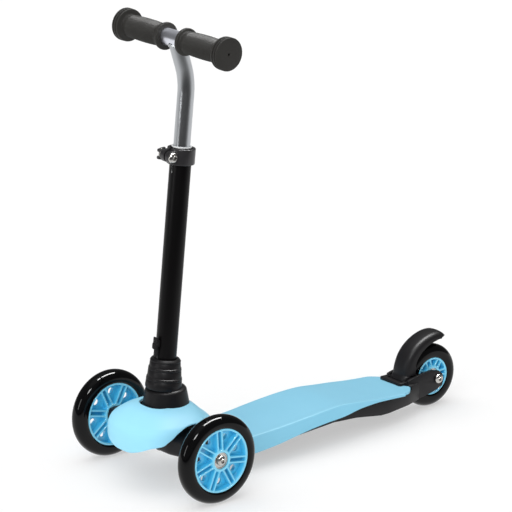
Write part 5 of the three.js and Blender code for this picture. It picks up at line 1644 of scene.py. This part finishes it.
@dataclass
class Brake:
    """Fender brake over the rear wheel: curved channel, hinge pin and return spring."""

    half_width: float = 16.4
    radius: float = 64.8
    start: float = 168.0
    end: float = 63.5
    tip: float = 14.0  # how much earlier the tail's corners end, in degrees
    depth: float = 20.0
    corner: float = 9.0
    thickness: float = 2.8
    pin: Flat = (-23.2, 20.9)
    pivot: Flat = (-54.0, 1.0)  # from the rear axle
    foot: tuple = ((-58.4, -3.0), (-58.3, 2.0), (-57.2, 7.0))  # line of the back face under the arc
    foot_centre: float = 14.0  # height of the point that the foot's walls face
    steps: int = 60
    # Share of the arc's length, then the ridge's radius and the depth of the sides at it, as shares
    shares: tuple = ((0, 0.86, 1), (0.17, 0.893, 0.85), (0.29, 0.921, 0.74), (0.55, 0.958, 0.66),
                     (0.8, 1, 0.6), (0.9, 0.98, 0.55), (1, 0.885, 0.45))

    def arc(self, share: float, turn: float) -> Flat:
        """Place on the fender's ridge at a share of its length and an angle about the rear axle."""
        radius = self.radius * float(curve_of(self.shares, 1)(share))
        return radius * math.cos(turn), radius * math.sin(turn)

    def section(self, depth: float) -> list[Flat]:
        """Half section in millimetres: place across and drop, from the side's edge to the ridge."""
        corner = min(self.corner, depth - 0.6)
        flat = self.half_width - corner
        wall = [(self.half_width, corner + (depth - corner) * k / 4) for k in range(4, 0, -1)]
        turns = [math.radians(90 * k / 9) for k in range(10)]
        bend = [(flat + corner * math.cos(t), corner * (1 - math.sin(t))) for t in turns]
        top = [(flat * k, -0.5 * (1 - k * k)) for k in (0.75, 0.5, 0.25, 0.0)]
        return [*wall, *bend, *top]

    def skin(self) -> np.ndarray:
        """Outer skin: rows along the wheel, each from one side wall over the face to the other."""
        rows = []
        lead = smooth([*self.foot, self.arc(0, math.radians(self.start))], 4)[:-1]
        for i in range(len(lead) + self.steps + 1):
            share = max(0.0, (i - len(lead)) / self.steps)
            depth = self.depth * float(curve_of(self.shares, 2)(share))
            row = []
            for x, drop in both_sides(self.section(depth)):
                if i < len(lead):
                    y, z = lead[i]
                    inward = Vector((-y, self.foot_centre - z)).normalized()
                else:
                    end = self.end + self.tip * abs(x / self.half_width) ** 2.3
                    turn = math.radians(self.start + share * (end - self.start))
                    y, z = self.arc((self.start - math.degrees(turn)) / (self.start - self.end), turn)
                    inward = Vector((-y, -z)).normalized()
                row.append((x, y + inward.x * drop, z + inward.y * drop))
            rows.append(row)
        return np.array(rows)

    def barrels(self) -> Draft:
        """Hinge barrels inside the fender's foot, either side of the spring."""
        draft = Draft()
        for side in (-1, 1):
            near, far = sorted((side * 6.6, side * (self.half_width - 2.0)))
            draft.ring(2.3, 4.2, near, far, Axis.X, 0.5, 48, (0, *self.pivot))
        return draft

    def build(self, shop: Workshop, coil: Coil) -> None:
        """Makes the fender, its pin and its spring.

        Args:
            shop: the workshop.
            coil: recipe of the wound spring.
        """
        item = part("brake_fender_moulded", Draft().grid(self.skin(), wrap_columns=False), REAR)
        shop.thicken(item, self.thickness, False)
        shop.bevel(item, 0.8, 3, 50)
        barrels = part("barrels", self.barrels(), REAR)
        shop.finish(merge([item, barrels]), FRAME, "brake_fender", "frame", 40)
        pin = Draft().rod(2, *self.pin, Axis.X, 40, (0, *self.pivot), 0.4)
        shop.piece("brake_pin_turned", pin, REAR, LEAF, "chassis", "steel")
        place = (REAR @ Vector((-5.0, *self.pivot))) * MM
        values = {"Turns": 4.0, "Radius": 3.4 * MM, "Length": 10.0 * MM, "Wire": 0.45 * MM,
                  "Place": list(place), "Turn": [0.0, math.pi / 2, 0.0]}
        spring = coil.make("brake_spring_wound", values, shop.material(LEAF))
        shop.finish(spring, LEAF, "chassis", "steel")


@dataclass
class RearAxle:
    """Bolt, nut and spacers that hold the rear wheel between the fork arms."""

    seat: float = 23.5
    nut: Flat = (-30.5, -23.5)
    spacer: Flat = (9.8, 18.7)

    def build(self, shop: Workshop) -> None:
        """Makes the rear axle's pieces."""
        seat = REAR @ Matrix.Translation((self.seat, 0, 0))
        shop.piece("rear_axle_bolt_head", Bolt().draft(), seat, STEEL, "chassis", "steel")
        shop.piece("rear_axle_nut_hex", Nut(*self.nut).draft(), REAR, STEEL, "chassis", "steel")
        for side, label in SIDES:
            low, high = sorted(side * place for place in self.spacer)
            shop.piece(f"rear_spacer_{label}_turned", spacer(low, high), REAR, STEEL, "chassis", "steel")


@dataclass
class Screws:
    """Pan-head screws under the deck and the hood."""

    head: float = 4.3
    shank: float = 2.2
    height: float = 2.6
    pitch: float = 1.3

    def shape(self, length: float) -> bpy.types.Object:
        """One screw, head down: a domed head and a shank with a row of ridges for its thread."""
        head, height, shank = self.head, self.height, self.shank
        thread = []
        for k in range(int(length / self.pitch)):
            thread += [(shank - 0.35, k * self.pitch + 0.3), (shank, k * self.pitch + 0.65)]
        profile = [(0, -height), (head * 0.5, -height), (head * 0.86, -height * 0.75),
                   (head, -height * 0.35), (head, 0), (shank, 0), *thread, (shank - 0.6, length),
                   (0, length)]
        return part("screw", Draft().turned(profile, Axis.Z, 24, closed=False), Matrix.Identity(4))

    def build(self, shop: Workshop, scatter: Scatter) -> None:
        """Makes the screws, one piece for the deck's and one for the hood's.

        Args:
            shop: the workshop.
            scatter: recipe that puts a shape at points.
        """
        for name, nodes in (("deck_screws_set", DECK_SCREWS),
                            ("cover_screws_set", ["cover_screw_left", "cover_screw_right"])):
            boxes = [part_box(item) for item in nodes]
            length = min((high.z - low.z) / MM - self.height for low, high in boxes)
            seats = [Vector(((low.x + high.x) / 2, (low.y + high.y) / 2, low.z + self.height * MM))
                     for low, high in boxes]
            shape = self.shape(length)
            points = bpy.data.meshes.new("points")
            points.from_pydata(seats, [], [])
            item = scatter.make(name, {"Shape": shape}, shop.material(STEEL), points)
            bpy.data.objects.remove(shape)
            shop.finish(item, STEEL, "chassis", "steel", nodes=nodes)


@dataclass
class Stage:
    """Plain pale floor, soft studio light and the camera at the photograph's angle."""

    floor_half: float = 30.0
    floor_depth: float = 0.02
    paper: str = "#C2C2C2"
    paper_lift: float = 0.46  # the floor's own light, which takes it to white where no shadow falls
    fade_way: Point = (-0.78, 0.63, 0.0)  # the way from the camera, along which gloss sees more light
    fade: Flat = (-1.35, -0.25)  # metres along it between the dark floor and the light one
    fade_light: Flat = (0.01, 1.0)
    zenith: Flat = (0.75, 0.95)  # height on the sky between the even surroundings and the overhead light
    zenith_light: Flat = (0.14, 0.5)
    sky_light: Flat = (0.45, 1.0)  # on matt surfaces, and to the camera and through glass
    camera_place: Point = (3.4823, -2.8604, 1.6357)
    camera_tilt: float = math.radians(73.08)
    camera_turn: float = math.radians(51.22)
    lens: float = 246.83
    sensor: float = 36.0
    far: float = 60.0

    def floor(self) -> None:
        """Floor that shows white to the camera where no shadow falls, and to gloss darker in front."""
        half = self.floor_half
        draft = Draft().block((-half, -half, -self.floor_depth), (half, half, 0.0))
        item = part("floor", draft, Matrix.Scale(1 / MM, 4))
        made = bpy.data.materials.new("matt_paper_white")
        made.use_nodes = True
        tree = made.node_tree
        tree.nodes.clear()
        ray = node(tree, "ShaderNodeLightPath").outputs
        place = node(tree, "ShaderNodeTexCoord").outputs["Object"]
        along = node(tree, "ShaderNodeVectorMath", {0: place, 1: self.fade_way}, operation="DOT_PRODUCT")
        fade = node(tree, "ShaderNodeMapRange",
                    {"Value": along.outputs["Value"], "From Min": self.fade[0], "From Max": self.fade[1],
                     "To Min": self.fade_light[0], "To Max": self.fade_light[1]},
                    interpolation_type="SMOOTHSTEP")
        paper = node(tree, "ShaderNodeBsdfDiffuse", {"Color": linear(self.paper)})
        lift = node(tree, "ShaderNodeEmission", {"Color": WHITE, "Strength": self.paper_lift})
        seen = node(tree, "ShaderNodeAddShader", {0: paper.outputs[0], 1: lift.outputs[0]})
        mirrored = node(tree, "ShaderNodeEmission", {"Color": WHITE, "Strength": fade.outputs["Result"]})
        both = node(tree, "ShaderNodeMixShader", {0: ray["Is Glossy Ray"], 1: seen.outputs[0],
                                                  2: mirrored.outputs[0]})
        node(tree, "ShaderNodeOutputMaterial", {"Surface": both.outputs[0]})
        item.data.materials.append(made)

    def lamp(self, name: str, kind: str, strength: float) -> bpy.types.Object:
        """A lamp that the camera can't see."""
        data = bpy.data.lights.new(name, kind)
        data.energy = strength
        item = bpy.data.objects.new(name, data)
        item.visible_camera = False
        bpy.context.scene.collection.objects.link(item)
        return item

    def sky(self, name: str, toward: Point, strength: float, width: float) -> None:
        """Wide soft light from far away, the same over the whole floor.

        Args:
            name: name of the lamp.
            toward: direction from the scooter to the light.
            strength: its strength.
            width: how wide it looks, in degrees.
        """
        item = self.lamp(name, "SUN", strength)
        item.data.angle = math.radians(width)
        item.visible_glossy = False
        item.rotation_euler = Vector(toward).to_track_quat("Z", "Y").to_euler()

    def strip(self, name: str, place: Point, aim: Point, size: Flat, watts: float) -> None:
        """Strip softbox that shows in glossy surfaces only.

        Args:
            name: name of the lamp.
            place: where it hangs, in metres.
            aim: the way its light goes.
            size: its width and its length.
            watts: its power.
        """
        item = self.lamp(name, "AREA", watts)
        item.data.shape = "RECTANGLE"
        item.data.size, item.data.size_y = size
        item.visible_diffuse = False
        item.location = place
        item.rotation_euler = (-Vector(aim)).to_track_quat("Z", "Y").to_euler()

    def world(self) -> None:
        """Even surroundings: white to the camera and through glass, softer to gloss except overhead."""
        world = bpy.data.worlds.new("studio")
        world.use_nodes = True
        tree = world.node_tree
        tree.nodes.clear()
        ray = node(tree, "ShaderNodeLightPath").outputs
        way = node(tree, "ShaderNodeTexCoord").outputs["Generated"]
        upward = node(tree, "ShaderNodeSeparateXYZ", {"Vector": way}).outputs["Z"]
        zenith = node(tree, "ShaderNodeMapRange",
                      {"Value": upward, "From Min": self.zenith[0], "From Max": self.zenith[1],
                       "To Min": self.zenith_light[0], "To Max": self.zenith_light[1]},
                      interpolation_type="SMOOTHSTEP")
        seen = node(tree, "ShaderNodeMath", {0: ray["Is Camera Ray"], 1: ray["Is Transmission Ray"]},
                    operation="MAXIMUM")
        plain = node(tree, "ShaderNodeMapRange", {"Value": seen.outputs[0], "To Min": self.sky_light[0],
                                                  "To Max": self.sky_light[1]})
        strength = node(tree, "ShaderNodeMix", {"Factor": ray["Is Glossy Ray"],
                                                "A": plain.outputs["Result"],
                                                "B": zenith.outputs["Result"]}, data_type="FLOAT")
        back = node(tree, "ShaderNodeBackground", {"Color": WHITE, "Strength": strength.outputs["Result"]})
        node(tree, "ShaderNodeOutputWorld", {"Surface": back.outputs[0]})
        bpy.context.scene.world = world

    def build(self) -> None:
        """Sets up the floor, the lamps, the surroundings and the camera."""
        self.floor()
        self.world()
        self.sky("key_sky", toward=(-0.2, -0.15, 1.0), strength=1.32, width=70)
        self.sky("fill_sky", toward=(0.5, -0.72, 0.48), strength=1.25, width=50)
        self.strip("key_strip", place=(0.2, 0.45, 1.95), aim=(0, 0, -1), size=(0.42, 1.6), watts=130)
        self.strip("front_strip", place=(-0.3, -2.4, 0.9), aim=(0, 1, 0), size=(0.36, 1.0), watts=9)
        self.strip("side_strip", place=(1.3, -1.3, 1.75), aim=(-1.3, 1.4, -1.45), size=(0.5, 0.5),
                   watts=26)
        camera = bpy.data.cameras.new("camera")
        camera.lens = self.lens
        camera.sensor_width = self.sensor
        camera.clip_end = self.far
        item = bpy.data.objects.new("camera", camera)
        bpy.context.scene.collection.objects.link(item)
        item.location = self.camera_place
        item.rotation_euler = (self.camera_tilt, 0, self.camera_turn)
        bpy.context.scene.camera = item
        bpy.context.scene.view_settings.view_transform = "Standard"


def wheels() -> list[Wheel]:
    """The three wheels, each at its packed hub."""
    front = {"radius": 60.0, "rim": 43.3, "finish": HUB_FRONT}
    return [
        Wheel("front_left", FRONT_AXLE, phase=math.radians(-9.4), **front),
        Wheel("front_right", middle_of("hub_front_right"), phase=math.radians(12.0), **front),
        Wheel("rear", REAR_AXLE, radius=45.0, rim=26.8, phase=math.radians(5.0), finish=HUB_REAR),
    ]


def main() -> None:
    """Builds the scooter's sub-assemblies in order, then the stage."""
    logging.basicConfig(level=logging.INFO, format="%(message)s")
    shop = Workshop()
    star, tube, coil, scatter = Star(), Tube(), Coil(), Scatter()
    for wheel in wheels():
        wheel.build(shop, star)
    Truck().build(shop)
    Kingpin().build(shop)
    Chassis().build(shop)
    Deck().build(shop)
    Hood().build(shop)
    Boot().build(shop)
    Column().build(shop)
    Button().build(shop)
    Clamp().build(shop)
    HandleBar().build(shop, tube)
    Brake().build(shop, coil)
    RearAxle().build(shop)
    Screws().build(shop, scatter)
    Stage().build()


if __name__ == "__main__":
    main()
